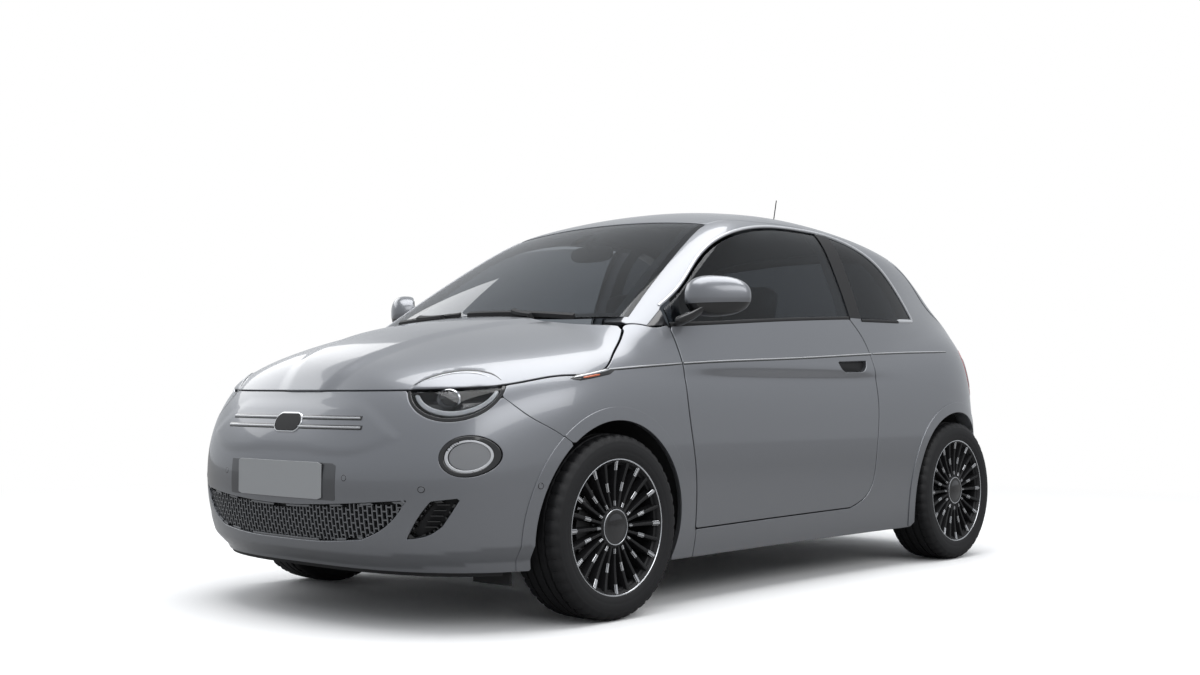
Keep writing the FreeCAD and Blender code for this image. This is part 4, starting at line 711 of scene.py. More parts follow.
def side_grid(s0, s1, low=-42.0, high=62.0):
    pitch = grid_and_trim()[0]
    return spaced(s0, s1, pitch), spaced(low, high, pitch / 14.5)


def arch_test(end, grow=0.0):
    return round_from(SIDE, (HUB_X[end] - ARCH_BACK, HUB_Z), ARCH + grow)


# Finishes. A colour given by a word is the user's; bump is a fine grain's scale, strength and depth.
LOOKS = {
    "paint": dict(colour="paint", rough=0.34, metal=0.8, coat=0.9, Coat_Roughness=0.05),
    "black_plastic": dict(colour=(0.012, 0.012, 0.013), rough=0.55, Specular_IOR_Level=0.35,
                          bump=(900, 0.25)),
    "black_gloss": dict(colour=(0.008, 0.008, 0.009), rough=0.12, coat=0.6),
    "under_coat": dict(colour=(0.03, 0.03, 0.031), rough=0.8, bump=(260, 0.4)),
    "chrome": dict(colour=(0.72, 0.73, 0.75), rough=0.08, metal=1.0),
    "satin": dict(colour=(0.6, 0.61, 0.63), rough=0.32, metal=0.55, coat=0.4),
    "alloy_black": dict(colour=(0.01, 0.01, 0.011), rough=0.55, coat=0.05, Specular_IOR_Level=0.3),
    "alloy_bright": dict(colour=(0.66, 0.67, 0.69), rough=0.22, metal=1.0, coat=0.5),
    "tyre": dict(colour=(0.009, 0.009, 0.01), rough=0.6, Specular_IOR_Level=0.35, bump=(420, 0.25)),
    "glass": dict(colour="glass", rough=0.0, Transmission_Weight=1.0, IOR=1.28),
    "dark_glass": dict(colour="dark_glass", rough=0.0, Transmission_Weight=1.0, IOR=1.28),
    "clear_lens": dict(colour=(0.93, 0.94, 0.95), rough=0.0, Transmission_Weight=1.0, IOR=1.3),
    "frost_lens": dict(colour=(0.2, 0.205, 0.215), rough=0.32, coat=1.0, Coat_Roughness=0.02),
    "light_guide": dict(colour=(0.46, 0.47, 0.49), rough=0.25, metal=0.3, coat=1.0),
    "reflector": dict(colour=(0.6, 0.61, 0.63), rough=0.12, metal=1.0),
    "red_lens": dict(colour=(0.35, 0.012, 0.01), rough=0.1, coat=1.0),
    "amber_lens": dict(colour=(0.55, 0.1, 0.015), rough=0.12, coat=1.0),
    "plate": dict(colour=(0.36, 0.37, 0.38), rough=0.42),
    "grille_grey": dict(colour=(0.2, 0.205, 0.215), rough=0.36, metal=0.75, coat=0.3),
    "nose_grey": dict(colour=(0.11, 0.113, 0.12), rough=0.35, metal=0.7, coat=0.5),
    "cloth": dict(colour="cloth", rough=0.85, Sheen_Weight=0.25, bump=(1400, 0.5)),
    "cabin_plastic": dict(colour=(0.025, 0.025, 0.027), rough=0.6, bump=(700, 0.3)),
    "cabin_pale": dict(colour=(0.3, 0.3, 0.31), rough=0.5),
    "carpet": dict(colour=(0.02, 0.02, 0.021), rough=0.95, bump=(900, 0.8, 0.001)),
    "steel": dict(colour=(0.36, 0.36, 0.37), rough=0.32, metal=1.0),
    "cast": dict(colour=(0.1, 0.1, 0.1), rough=0.55, metal=0.8, bump=(300, 0.3)),
    "screen": dict(colour=(0.004, 0.004, 0.005), rough=0.08, coat=1.0),
}
FINISHES = {}


def material(name):
    """A finish from the table, made when it is first asked for."""
    if name not in FINISHES:
        look = dict(LOOKS[name])
        colour, bump = look.pop("colour"), look.pop("bump", None)
        if isinstance(colour, str):
            colour = getattr(bpy.context.scene.colours, colour)
        FINISHES[name] = shader(name, colour, **look)
        if bump:
            grain(FINISHES[name], *bump)
    return FINISHES[name]


def fill(node, **values):
    """Sets a node's inputs; _ in a name stands for a space."""
    for socket, value in values.items():
        node.inputs[socket.replace("_", " ")].default_value = value


def link_all(tree, *pairs):
    for start, end in pairs:
        tree.links.new(start, end)


def new_nodes(tree, *kinds):
    return [tree.nodes.new(kind) for kind in kinds]


def shader(name, colour, rough, metal=0.0, coat=0.0, **extra):
    m = bpy.data.materials.new(name)
    m.use_nodes = True
    fill(m.node_tree.nodes["Principled BSDF"], Base_Color=tuple(colour) + (1.0,), Roughness=rough,
         Metallic=metal, Coat_Weight=coat, **extra)
    return m


def grain(m, scale, strength, distance=0.0003, detail=4.0):
    """A fine bump on Object coordinates."""
    tree = m.node_tree
    where, noise, bump = new_nodes(tree, "ShaderNodeTexCoord", "ShaderNodeTexNoise", "ShaderNodeBump")
    fill(noise, Scale=scale, Detail=detail)
    fill(bump, Strength=strength, Distance=distance)
    link_all(tree, (where.outputs["Object"], noise.inputs["Vector"]),
             (noise.outputs["Fac"], bump.inputs["Height"]),
             (bump.outputs["Normal"], tree.nodes["Principled BSDF"].inputs["Normal"]))


# Body panels
def clear_of_gate(trim):
    """Outside the tailgate's outline, as it is seen from behind, and its gap."""
    return lambda p: -(flat_distance(tailgate_shape, p[:, FRONT]) - GAP + trim)


def build_side_frames():
    """Sills, pillars, roof rails and rear quarters, each side in one pressing."""
    trim = grid_and_trim()[1]
    gate = clear_of_gate(trim)
    tests = all_of(
        inside(frame_shape, SIDE), outside(inside(top_room, TOP, 0.5)),
        outside(inside(door_shape, SIDE, GAP - trim)), outside(inside(front_glass_shape, SIDE, GAP - trim)),
        outside(inside(quarter_shape, SIDE, 2)), outside(inside(shield_shape, TOP, 2)),
        lambda p: np.where(p[:, 0] < -1150, gate(p), -99.0),
        outside(inside(wing_shape, SIDE, 3.0)), outside(inside(triangle_shape, SIDE, 0.4)),
        outside(arch_test("rear")), outside(tail_lamp_test(0.4)))
    pair("side_panel", "paint", side_rays, *side_grid(905, STRAIGHT[1] - BEND), tests, 60, ROOT,
         down=(0, -1, 0), node="side_frame_@", slot="paint")
    pair("centre_pillar", "black_plastic", side_rays, *side_grid(-470, -650, 20, 62),
         inside(pillar_shape, SIDE), 3, ROOT, level=1.0, edge=0.6, slot="black_trim")


def build_arch_bands():
    """The raised band round each wheel arch, split where the panels under it are."""
    for end, part, shape, grow, foot in (("front", "wing", wing_shape, -0.4, 168),
                                         ("front", "nose", bumper_shape, -0.9, 189),
                                         ("rear", "quarter", frame_shape, -0.4, 168),
                                         ("rear", "tail", rear_bumper_shape, -0.9, 206)):
        middle = HUB_X[end] - ARCH_BACK
        band = all_of(inside(shape, SIDE, grow), above(foot), arch_test(end, BAND_WIDE),
                      outside(arch_test(end, 0.5)), outside(inside(door_shape, SIDE, GAP + 1)))
        pair("arch_band_" + part, "paint", side_rays, spaced(middle - 460, middle + 500, 9),
             spaced(-42, 8, 0.7), band, 7, ROOT, level=3.6, edge=1.6,
             relief=nose_relief if part == "nose" else None, slot="paint")


def build_roof():
    pitch, trim = grid_and_trim()
    tests = all_of(inside(roof_shape, TOP, trim * 0.4), outside(inside(shield_shape, TOP, 2)))
    panel("roof_skin", "paint", top_rays, spaced(-1200, 240, pitch * 1.2), spaced(-570, 570, pitch * 1.2),
          tests, 30, ROOT, node="roof_panel", slot="paint")


def build_glass():
    """Every pane, sunk in its opening, and the black corner pieces ahead of the door glass."""
    sunk = dict(level=-SINK, edge=0.6, slot="glass")
    panel("windscreen_pane", "glass", top_rays, spaced(150, 960, 18), spaced(-690, 690, 18),
          inside(shield_shape, TOP), PANE, ROOT, node="windscreen", **sunk)
    pair("quarter_pane", "dark_glass", side_rays, *side_grid(-540, -1250, 8, 62),
         inside(quarter_shape, SIDE), PANE, ROOT, node="quarter_glass", **sunk)
    pair("door_pane", "glass", side_rays, *side_grid(740, -560, 6, 60), inside(pane_shape, SIDE), PANE,
         "door_@", node="door_glass_@", **sunk)
    pair("corner_blank", "black_gloss", side_rays, *side_grid(840, 680, 8, 30),
         inside(triangle_shape, SIDE), 14, ROOT, level=-2, edge=1.0, node="window_triangles",
         slot="black_trim")
    panel("tailgate_pane", "dark_glass", tail_rays, spaced(-52, 52, 1.1), spaced(-16, 58, 1.3),
          all_of(inside(rear_glass_shape, FRONT), lambda p: p[:, 0] + 1150), PANE, "tailgate",
          node="tailgate_glass", **sunk)


def build_doors():
    us, vs = side_grid(740, -680, -42, 30)
    skin_part = all_of(inside(door_shape, SIDE, grid_and_trim()[1]), outside(inside(pull_shape, SIDE)))
    pair("door_skin", "paint", side_rays, us, vs, skin_part, 26, "door_@", node="door_@", slot="paint")
    pair("door_lining", "cabin_plastic", side_rays, us[::2], vs[::2], inside(door_shape, SIDE, -20), 60,
         "door_@", level=-25, edge=1.0, slot="black_trim")
    pair("pull_pocket", "black_plastic", side_rays, *side_grid(-300, -580, 0, 20),
         inside(pull_shape, SIDE, 1.0), 4, "door_@", level=-16, edge=1.0, slot="black_trim")


def build_front():
    pitch, trim = grid_and_trim()
    lid = all_of(inside(hood_shape, SIDE), inside(hood_plan, TOP))
    panel("bonnet_skin", "paint", hood_rays, spaced(-88, 88, pitch / 21), spaced(7, 70, pitch / 21), lid,
          24, "bonnet", relief=bonnet_relief, node="bonnet", slot="paint")
    hood_room = inside(hood_shape, SIDE, GAP - trim * 2)
    wing = all_of(inside(wing_shape, SIDE), outside(inside(door_shape, SIDE, GAP + 1 - trim)),
                  outside(hood_room), outside(arch_test("front")), outside(head_lamp_test(0.5)))
    pair("wing_skin", "paint", side_rays, *side_grid(560, 1600, -42, 28), wing, 14, ROOT,
         node="front_wing_@", slot="paint")
    cuts = []
    for test in (arch_test("front"), head_lamp_test(0.5), inside(vent_shape, FRONT, 0, 1.0),
                 round_from(FRONT, ROUND_LAMP, ROUND_LAMP_RADIUS)):
        cuts += [outside(test), outside(mirrored_test(test))]
    cover = all_of(inside(bumper_shape, SIDE, -0.5), outside(hood_room),
                   outside(inside(grille_shape, FRONT)), above(188), *cuts)
    fine = pitch * 0.75
    panel("nose_skin", "paint", wall_rays, spaced(1180, NOSE_ROUND - 1180, fine), spaced(165, 800, fine),
          cover, 22, ROOT, relief=nose_relief, node="front_bumper", slot="paint")


def swelling(shape, wide):
    """A rise of one unit inside a front-view outline and its mirror image, with a soft edge."""
    def rise(p):
        return step(wide / 2, -wide / 2, flat_distance(shape, np.stack([np.abs(p[:, 1]), p[:, 2]], 1)))
    return rise


brow = swelling(outline([(478, 762), (488, 783), (530, 811), (578, 824), (638, 821), (682, 805),
                         (712, 770)], [(712, 770), (478, 762)]), 13.0)
cheek = swelling(outline([(0, 722), (217, 720), (315, 713), (416, 666), (498, 614)],
                         [(498, 614), (382, 572), (99, 571), (0, 571)], [(0, 571), (-60, 571)],
                         [(-60, 571), (-60, 722)], [(-60, 722), (0, 722)]), 40.0)
crease = Curve([(880, 352), (1241, 294), (1397, 250), (1560, 200), (1680, 140), (1760, 100)])
chin_line = Curve([(0, 243), (273, 241), (400, 243), (509, 249), (617, 256), (661, 262), (713, 268),
                   (900, 271)])


def bonnet_relief(p):
    side = np.abs(p[:, 1])
    ridge = crease(p[:, 0])
    return 7.5 * step(ridge + 42, ridge - 42, side) + 4.0 * brow(p) * step(1380, 1440, p[:, 0])


def nose_relief(p):
    ahead = step(1250, 1400, p[:, 0])
    under = chin_line(np.abs(p[:, 1])) - p[:, 2]
    return ahead * (5.0 * cheek(p) - np.minimum(0.45 * np.maximum(under, 0), 20.0))


def build_rear():
    pitch, trim = grid_and_trim()
    gate = all_of(inside(tailgate_shape, FRONT, trim), outside(inside(rear_glass_shape, FRONT, 2)),
                  lambda p: p[:, 0] + 1171 - trim, above(592))
    panel("tailgate_skin", "paint", tail_rays, spaced(-52, 52, pitch / 20), spaced(-16, 58, pitch / 17),
          gate, 36, "tailgate", node="tailgate", slot="paint")
    cover = all_of(inside(rear_bumper_shape, SIDE, -0.5 + trim), outside(arch_test("rear")),
                   outside(mirrored_test(arch_test("rear"))), above(205))
    panel("tail_skin", "paint", wall_rays, spaced(-1220, TAIL_ROUND + 1220, pitch), spaced(165, 640, pitch),
          cover, 22, ROOT, node="rear_bumper", slot="paint")
    lamp_end = STRAIGHT[1] - BEND * 1.1
    pair("tail_lens", "red_lens", side_rays, *side_grid(-1150, lamp_end, -10, 32),
         all_of(tail_lamp_test(0), clear_of_gate(trim)), 40, ROOT, level=1.5, edge=3.0, node="tail_lamps",
         slot="lamp_red")
    for part, finish, slot, grow, level, edge in (("bezel", "black_gloss", "black_trim", -33, 2.2, 2.0),
                                                  ("insert", "paint", "paint", -39, 4.0, 3.0)):
        pair("tail_" + part, finish, side_rays, spaced(-1150, lamp_end, 8), spaced(-10, 32, 0.55),
             tail_lamp_test(grow), 4, ROOT, level=level, edge=edge, slot=slot)


# Shapes that aren't panels
SHARP = math.radians(38)


def turned(angle):
    """The matrix of a turn about Z."""
    c, s = math.cos(angle), math.sin(angle)
    return np.array([[c, -s, 0], [s, c, 0], [0, 0, 1]])


def circle(count):
    """Angles all the way round, the last one short of the first."""
    return np.linspace(0, 2 * math.pi, count, endpoint=False)


class Shape:
    """Points in millimetres and faces with finishes, gathered into one piece."""

    def __init__(self):
        self.points, self.faces, self.slots, self.finishes = [], [], [], []
        self.count = 0

    def add(self, points, faces, finish):
        if finish not in self.finishes:
            self.finishes.append(finish)
        slot = self.finishes.index(finish)
        self.points.append(np.asarray(points, float))
        self.faces += [tuple(int(i) + self.count for i in f) for f in faces]
        self.slots += [slot] * len(faces)
        self.count += len(points)
        return self

    def sheet(self, rows, finish, wrap=False, caps=False):
        """Rows of points of one length, joined by quads. wrap closes each row, caps fills both ends."""
        rows = np.asarray(rows, float)
        n, m = rows.shape[:2]
        faces = []
        for i in range(n - 1):
            for j in range(m if wrap else m - 1):
                k = (j + 1) % m
                faces.append((i * m + j, i * m + k, (i + 1) * m + k, (i + 1) * m + j))
        if caps:
            faces += [tuple(range(m))[::-1], tuple((n - 1) * m + j for j in range(m))]
        return self.add(rows.reshape(-1, 3), faces, finish)

    def turn(self, profile, finish, segments=96):
        """Turns a profile of (along the axle, radius) about Y."""
        rows = [[(r * math.cos(a), along, r * math.sin(a)) for a in circle(segments)]
                for along, r in profile]
        return self.sheet(rows, finish, wrap=True)

    def brick(self, low, high, finish, taper=0.0):
        (x0, y0, z0), (x1, y1, z1) = low, high
        t = taper
        corners = [(x0, y0, z0), (x1, y0, z0), (x1, y1, z0), (x0, y1, z0), (x0 + t, y0 + t, z1),
                   (x1 - t, y0 + t, z1), (x1 - t, y1 - t, z1), (x0 + t, y1 - t, z1)]
        return self.add(corners, [(3, 2, 1, 0), (4, 5, 6, 7), (0, 1, 5, 4), (1, 2, 6, 5), (2, 3, 7, 6),
                                  (3, 0, 4, 7)], finish)

    def rod(self, path, radius, finish, sides=12):
        """A round rod along a path."""
        path = np.asarray(path, float)
        ways = np.gradient(path, axis=0)
        rows = []
        for p, w in zip(path, ways):
            w = w / np.linalg.norm(w)
            u = np.cross(w, (0.31, 0.17, 0.94))
            u /= np.linalg.norm(u)
            v = np.cross(w, u)
            rows.append([p + radius * (u * math.cos(a) + v * math.sin(a)) for a in circle(sides)])
        return self.sheet(rows, finish, wrap=True, caps=True)

    def egg(self, centre, half, finish, power=2.0, turn=0.0, rows=24, squash=None):
        """A rounded body; a higher power makes it squarer. squash(points) may flatten it."""
        def bow(v):
            return np.sign(v) * np.abs(v) ** (2 / power)
        grid = []
        for t in np.linspace(-math.pi / 2, math.pi / 2, rows):
            a = circle(2 * rows)
            c = bow(math.cos(t) if abs(math.cos(t)) > 1e-9 else 0.0)
            grid.append(np.stack([bow(np.cos(a)) * c, bow(np.sin(a)) * c,
                                  0 * a + bow(np.array(math.sin(t)))], 1))
        grid = np.array(grid)
        shape = grid.shape
        local = grid.reshape(-1, 3) * np.array(half)
        if squash:
            local = squash(local)
        spin = turned(turn)
        return self.sheet((local @ spin.T + np.array(centre)).reshape(shape), finish, wrap=True)

    def make(self, name, body, side=1.0, bevel=0.0, node=None, slot=None):
        """The gathered shape as one piece on a body, or loose where body is None."""
        points = np.concatenate(self.points) * [1, side, 1] * MM
        mesh = bpy.data.meshes.new(name)
        mesh.from_pydata(points.tolist(), [], self.faces)
        for finish in self.finishes:
            mesh.materials.append(material(finish))
        mesh.polygons.foreach_set("material_index", self.slots)
        mesh.polygons.foreach_set("use_smooth", [True] * len(mesh.polygons))
        bm = bmesh.new()
        bm.from_mesh(mesh)
        bmesh.ops.remove_doubles(bm, verts=bm.verts, dist=1e-5)
        bmesh.ops.recalc_face_normals(bm, faces=bm.faces)
        bm.to_mesh(mesh)
        bm.free()
        mesh.set_sharp_from_angle(angle=SHARP)
        piece = new_object(name, mesh)
        if bevel:
            edge = piece.modifiers.new("Edges", "BEVEL")
            edge.width = bevel * MM
            edge.segments = 2
            edge.limit_method = "ANGLE"
        if body:
            rides(piece, body, node)
        return piece

    def make_pair(self, name, body, node=None, **rest):
        """The gathered shape on the left, and its mirror image on the right."""
        for name, sign, body, node in both_sides(name, body, node):
            self.make(name, body, side=sign, node=node, **rest)


def on_skin(flat, view, level=0.0, x_from=1200.0):
    """Flat points of a view, carried to the skin with their normals."""
    a, b = np.asarray(flat, float).T
    if view == SIDE:
        start, way, far = (a, 0 * a, b), (0, 1, 0), 1100
    elif view == TOP:
        start, way, far = (a, b, 0 * a + 500), (0, 0, 1), 1200
    else:
        start, way, far = (0 * a + x_from, a, b), (1 if x_from > 0 else -1, 0, 0), 900
    p = land(np.stack(start, 1), np.tile(np.array(way, float), (len(a), 1)), far, lambda q: skin(q) - level)
    return p, slope(skin, p)[0]


def bead(shape, flat, view, width, height, finish, level=0.0, pitch=12.0, x_from=1200.0, taper=0.0):
    """A rounded strip laid along a line on the skin."""
    if len(flat) == 2:
        flat = np.linspace(flat[0], flat[1], 3)
    points, normals = on_skin(bent(flat, pitch), view, level, x_from)
    ways = np.gradient(points, axis=0)
    ways /= np.linalg.norm(ways, axis=1)[:, None]
    across = np.cross(normals, ways)
    across /= np.linalg.norm(across, axis=1)[:, None]
    rows = []
    for i, (p, n, u) in enumerate(zip(points, normals, across)):
        t = min(i, len(points) - 1 - i) / max(len(points) - 1, 1)
        k = 1 - taper * (1 - min(t * 6, 1))
        rows.append([p + u * (width / 2 * k * math.cos(a)) + n * (height * k * max(math.sin(a), -0.4))
                     for a in circle(14)])
    return shape.sheet(rows, finish, wrap=True, caps=True)


def plain_mesh(piece, name):
    """What a piece's Geometry Nodes make, as a plain mesh."""
    graph = bpy.context.evaluated_depsgraph_get()
    mesh = bpy.data.meshes.new_from_object(piece.evaluated_get(graph))
    mesh.name = name
    bpy.data.objects.remove(piece)
    return mesh


def copies_tree(name, kind):
    """Geometry Nodes that both trees share: copies on points, made real, with one finish."""
    tree = bpy.data.node_groups.new(name, "GeometryNodeTree")
    for label, socket in (("Geometry", "Geometry"), kind, ("Finish", "Material")):
        tree.interface.new_socket(label, in_out="INPUT", socket_type="NodeSocket" + socket)
    tree.interface.new_socket("Geometry", in_out="OUTPUT", socket_type="NodeSocketGeometry")
    start, end, put, real, paint = new_nodes(
        tree, "NodeGroupInput", "NodeGroupOutput", "GeometryNodeInstanceOnPoints",
        "GeometryNodeRealizeInstances", "GeometryNodeSetMaterial")
    link_all(tree, (put.outputs["Instances"], real.inputs["Geometry"]),
             (real.outputs["Geometry"], paint.inputs["Geometry"]),
             (start.outputs["Finish"], paint.inputs["Material"]),
             (paint.outputs["Geometry"], end.inputs["Geometry"]))
    return tree, start, put


def bars_tree():
    """Geometry Nodes: a bar on every point, turned by the point's own angles."""
    if "Bars on points" in bpy.data.node_groups:
        return bpy.data.node_groups["Bars on points"]
    tree, start, put = copies_tree("Bars on points", ("Bar size", "Vector"))
    bar, turn = new_nodes(tree, "GeometryNodeMeshCube", "GeometryNodeInputNamedAttribute")
    turn.data_type = "FLOAT_VECTOR"
    turn.inputs["Name"].default_value = "turn"
    link_all(tree, (start.outputs["Bar size"], bar.inputs["Size"]),
             (start.outputs["Geometry"], put.inputs["Points"]),
             (bar.outputs["Mesh"], put.inputs["Instance"]),
             (turn.outputs["Attribute"], put.inputs["Rotation"]))
    return tree


def set_inputs(modifier, values):
    """Sets a modifier's inputs by the names that its tree shows."""
    for item in modifier.node_group.interface.items_tree:
        if item.in_out == "INPUT" and item.name in values:
            modifier[item.identifier] = values[item.name]


def bars(name, points, ways, size, finish):
    """Bars of one size on points; ways holds each bar's (long way, outward way)."""
    mesh = bpy.data.meshes.new(name)
    mesh.from_pydata((np.asarray(points) * MM).tolist(), [], [])
    angles = []
    for along, out in ways:
        z = Vector(along).normalized()
        x = (Vector(out) - z * Vector(out).dot(z)).normalized()
        y = z.cross(x)
        angles.append(Matrix((x, y, z)).transposed().to_euler())
    turn = mesh.attributes.new("turn", "FLOAT_VECTOR", "POINT")
    turn.data.foreach_set("vector", np.array([tuple(a) for a in angles]).ravel())
    piece = new_object(name + "_points", mesh)
    nodes = piece.modifiers.new("Bars", "NODES")
    nodes.node_group = bars_tree()
    set_inputs(nodes, {"Bar size": tuple(v * MM for v in size), "Finish": material(finish)})
    rides(new_object(name, plain_mesh(piece, name)), ROOT)


def ring_tree():
    """Geometry Nodes: copies of a shape in a ring about Y."""
    if "Ring of copies" in bpy.data.node_groups:
        return bpy.data.node_groups["Ring of copies"]
    tree, start, put = copies_tree("Ring of copies", ("Count", "Int"))
    points, number, share, angle, turn = new_nodes(
        tree, "GeometryNodePoints", "GeometryNodeInputIndex", "ShaderNodeMath", "ShaderNodeMath",
        "ShaderNodeCombineXYZ")
    share.operation, angle.operation = "DIVIDE", "MULTIPLY"
    angle.inputs[1].default_value = 2 * math.pi
    link_all(tree, (start.outputs["Count"], points.inputs["Count"]), (number.outputs[0], share.inputs[0]),
             (start.outputs["Count"], share.inputs[1]), (share.outputs[0], angle.inputs[0]),
             (angle.outputs[0], turn.inputs["Y"]), (points.outputs[0], put.inputs["Points"]),
             (start.outputs["Geometry"], put.inputs["Instance"]), (turn.outputs[0], put.inputs["Rotation"]))
    return tree


def ring_of(name, shape, count, finish):
    """A ring of copies of a shape about Y, as a loose mesh in the wheel's own place."""
    piece = shape.make(name + "_one", None)
    nodes = piece.modifiers.new("Ring", "NODES")
    nodes.node_group = ring_tree()
    set_inputs(nodes, {"Count": count, "Finish": material(finish)})
    mesh = plain_mesh(piece, name)
    mesh.set_sharp_from_angle(angle=SHARP)
    return mesh


# Wheels
WHEEL_Y = {"front": 735.0, "rear": 730.0}
RIM_R, RIM_HALF = 228.0, 95.0


def wheel_place(corner):
    end, side = corner.split("_")
    return (HUB_X[end], SIDES[side] * WHEEL_Y[end], HUB_Z), SIDES[side]


def placed(mesh, name, corner, node=None):
    """A copy of a left wheel's mesh at a corner of the car, in place of that corner's node."""
    place, side = wheel_place(corner)
    mesh = mesh.copy()
    mesh.transform(Matrix.Translation(Vector(place) * MM) @ Matrix.Diagonal((1, side, 1, 1)))
    if side < 0:
        mesh.flip_normals()
    rides(new_object(name + "_" + corner, mesh), "wheel_" + corner, node and node + "_" + corner)


def loose(shape, name):
    piece = shape.make(name, None)
    mesh = piece.data
    bpy.data.objects.remove(piece)
    return mesh


def tyre_mesh():
    """A low tyre: bead, bulged wall with two fine ribs, square shoulder blocks and four long grooves."""
    half = [(84, 213), (90, 216), (95, 224), (97.5, 229), (99.5, 234), (101.0, 240), (102.2, 247),
            (102.0, 249), (103.0, 252), (103.4, 260), (103.2, 268), (102.6, 275), (101.6, 278),
            (101.8, 280), (100.0, 285), (97.0, 291), (93.5, 296.5), (89.5, 300.8), (85, 303.6), (80, 305.4),
            (72, 306.3), (64, 306.8)]
    for middle, wide in ((54, 9), (20, 9)):
        half += [(middle + wide / 2 + 0.1, 307.4), (middle + wide / 2 - 1, 301),
                 (middle - wide / 2 + 1, 301), (middle - wide / 2 - 0.1, 307.6)]
    half += [(8, 308)]
    profile = half + [(-a, r) for a, r in reversed(half)]
    profile += [(-70, 208), (70, 208)]
    shape = Shape()
    rows = []
    for along, r in profile + profile[:1]:
        row = []
        for i, a in enumerate(circle(180)):
            block = i % 4 == 0 and 58 < abs(along) < 98 and r > 288
            rr = r - (4.5 if block else 0)
            lift = 0.5 if block and r < 303 else 0
            row.append((rr * math.cos(a), along - math.copysign(lift, along), rr * math.sin(a)))
        rows.append(row)
    shape.sheet(rows, "tyre", wrap=True)
    return loose(shape, "tyre_form")


def rim_mesh():
    """The rim's barrel with its bright outer edge, and the hub with its plain cap."""
    shape = Shape()
    edge, half = RIM_R, RIM_HALF
    shape.turn([(half + 1.5, edge - 2), (half + 2, edge - 4), (half + 0.5, edge - 6.5)], "alloy_bright",
               120)
    shape.turn([(half + 0.5, edge - 6.5), (half - 6, edge - 9), (half - 12, edge - 12),
                (half - 20, edge - 22), (half - 60, edge - 26), (-half + 25, edge - 26),
                (-half + 12, edge - 18), (-half + 4, edge - 8), (-half, edge - 2), (-half, edge),
                (-half + 3, edge), (-half + 8, edge - 12), (-60, edge - 14), (60, edge - 14),
                (half - 8, edge - 13), (half - 2, edge), (half + 1.5, edge - 2)], "alloy_black", 120)
    face = half - 11
    shape.turn([(face - 34, 40), (face - 30, 66), (face - 8, 70), (face - 3, 68), (face - 1, 63),
                (face - 2, 60)], "alloy_black", 72)
    shape.turn([(face - 2, 60), (face + 1.5, 59.5), (face + 2.2, 58), (face + 1.5, 56.5)], "alloy_bright",
               72)
    shape.turn([(face + 1.5, 56.5), (face + 1, 54), (face + 3, 40), (face + 4.5, 20), (face + 5, 0.01)],
               "black_gloss", 72)
    return loose(shape, "rim_form")


def spoke_height(r):
    """The spoke's outer face along the axle at a radius: slightly dished."""
    t = (r - 64) / (RIM_R - 12 - 64)
    return RIM_HALF - 12 + 8.5 * t - 9 * math.sin(math.pi * t) * 0.55


def spoke_shape(r0, r1, wide0, wide1, deep, turn, lift=0.0, finish="alloy_black"):
    """A ridge from r0 to r1 with a narrower crown, at a turn about the axle."""
    shape = Shape()
    rows = []
    for r in np.linspace(r0, r1, 9):
        t = (r - r0) / (r1 - r0)
        w = wide0 + (wide1 - wide0) * t
        top = spoke_height(r) + lift
        section = [(-w * 0.5, top - 1.2), (-w * 0.36, top), (w * 0.36, top), (w * 0.5, top - 1.2),
                   (w * 0.8, top - deep), (-w * 0.8, top - deep)]
        rows.append([(r * math.cos(turn) - u * math.sin(turn), v,
                      r * math.sin(turn) + u * math.cos(turn)) for u, v in section])
    return shape.sheet(rows, finish, wrap=True, caps=True)


def build_wheels():
    """Tyres, black many-spoked rims with bright turned dashes, discs, pads and bolts."""
    spokes = ring_of("spokes", spoke_shape(60, RIM_R - 11, 7.5, 12.5, 30, 0), 24, "alloy_black")
    dashes = []
    for r0, r1, w0, w1, turn in ((188, 219, 9.0, 10.5, 0), (121, 151, 7.6, 8.4, math.pi / 12),
                                 (71, 87, 6.0, 6.4, 0)):
        dash = spoke_shape(r0, r1, w0, w1, 2.5, turn, 0.35, "alloy_bright")
        dashes.append(ring_of("dash_%d" % len(dashes), dash, 12, "alloy_bright"))
    disc = Shape()
    disc.turn([(17, 72), (17, 126.5), (16, 128), (7, 128), (7, 120), (3, 120), (3, 128), (-4, 128),
               (-5, 126.5), (-5, 72)], "steel", 96)
    disc.turn([(17, 72), (44, 70), (49, 64), (49.7, 50), (49.7, 18.4)], "cast", 72)
    tyre, rim, disc = tyre_mesh(), rim_mesh(), loose(disc, "disc_form")
    for corner in CORNERS:
        placed(tyre, "tyre_tread", corner, "tyre")
        placed(rim, "rim_barrel", corner, "rim")
        placed(spokes, "rim_spokes", corner)
        for i, mesh in enumerate(dashes):
            placed(mesh, "rim_dashes_%d" % i, corner)
        placed(disc, "disc_face", corner, "brake_disc")


# Lamps, grille and bright trim
def lamp_grid(low, high, pitch):
    return spaced(1180, STRAIGHT[0] + BEND * math.pi * 0.42, pitch), spaced(low, high, pitch)


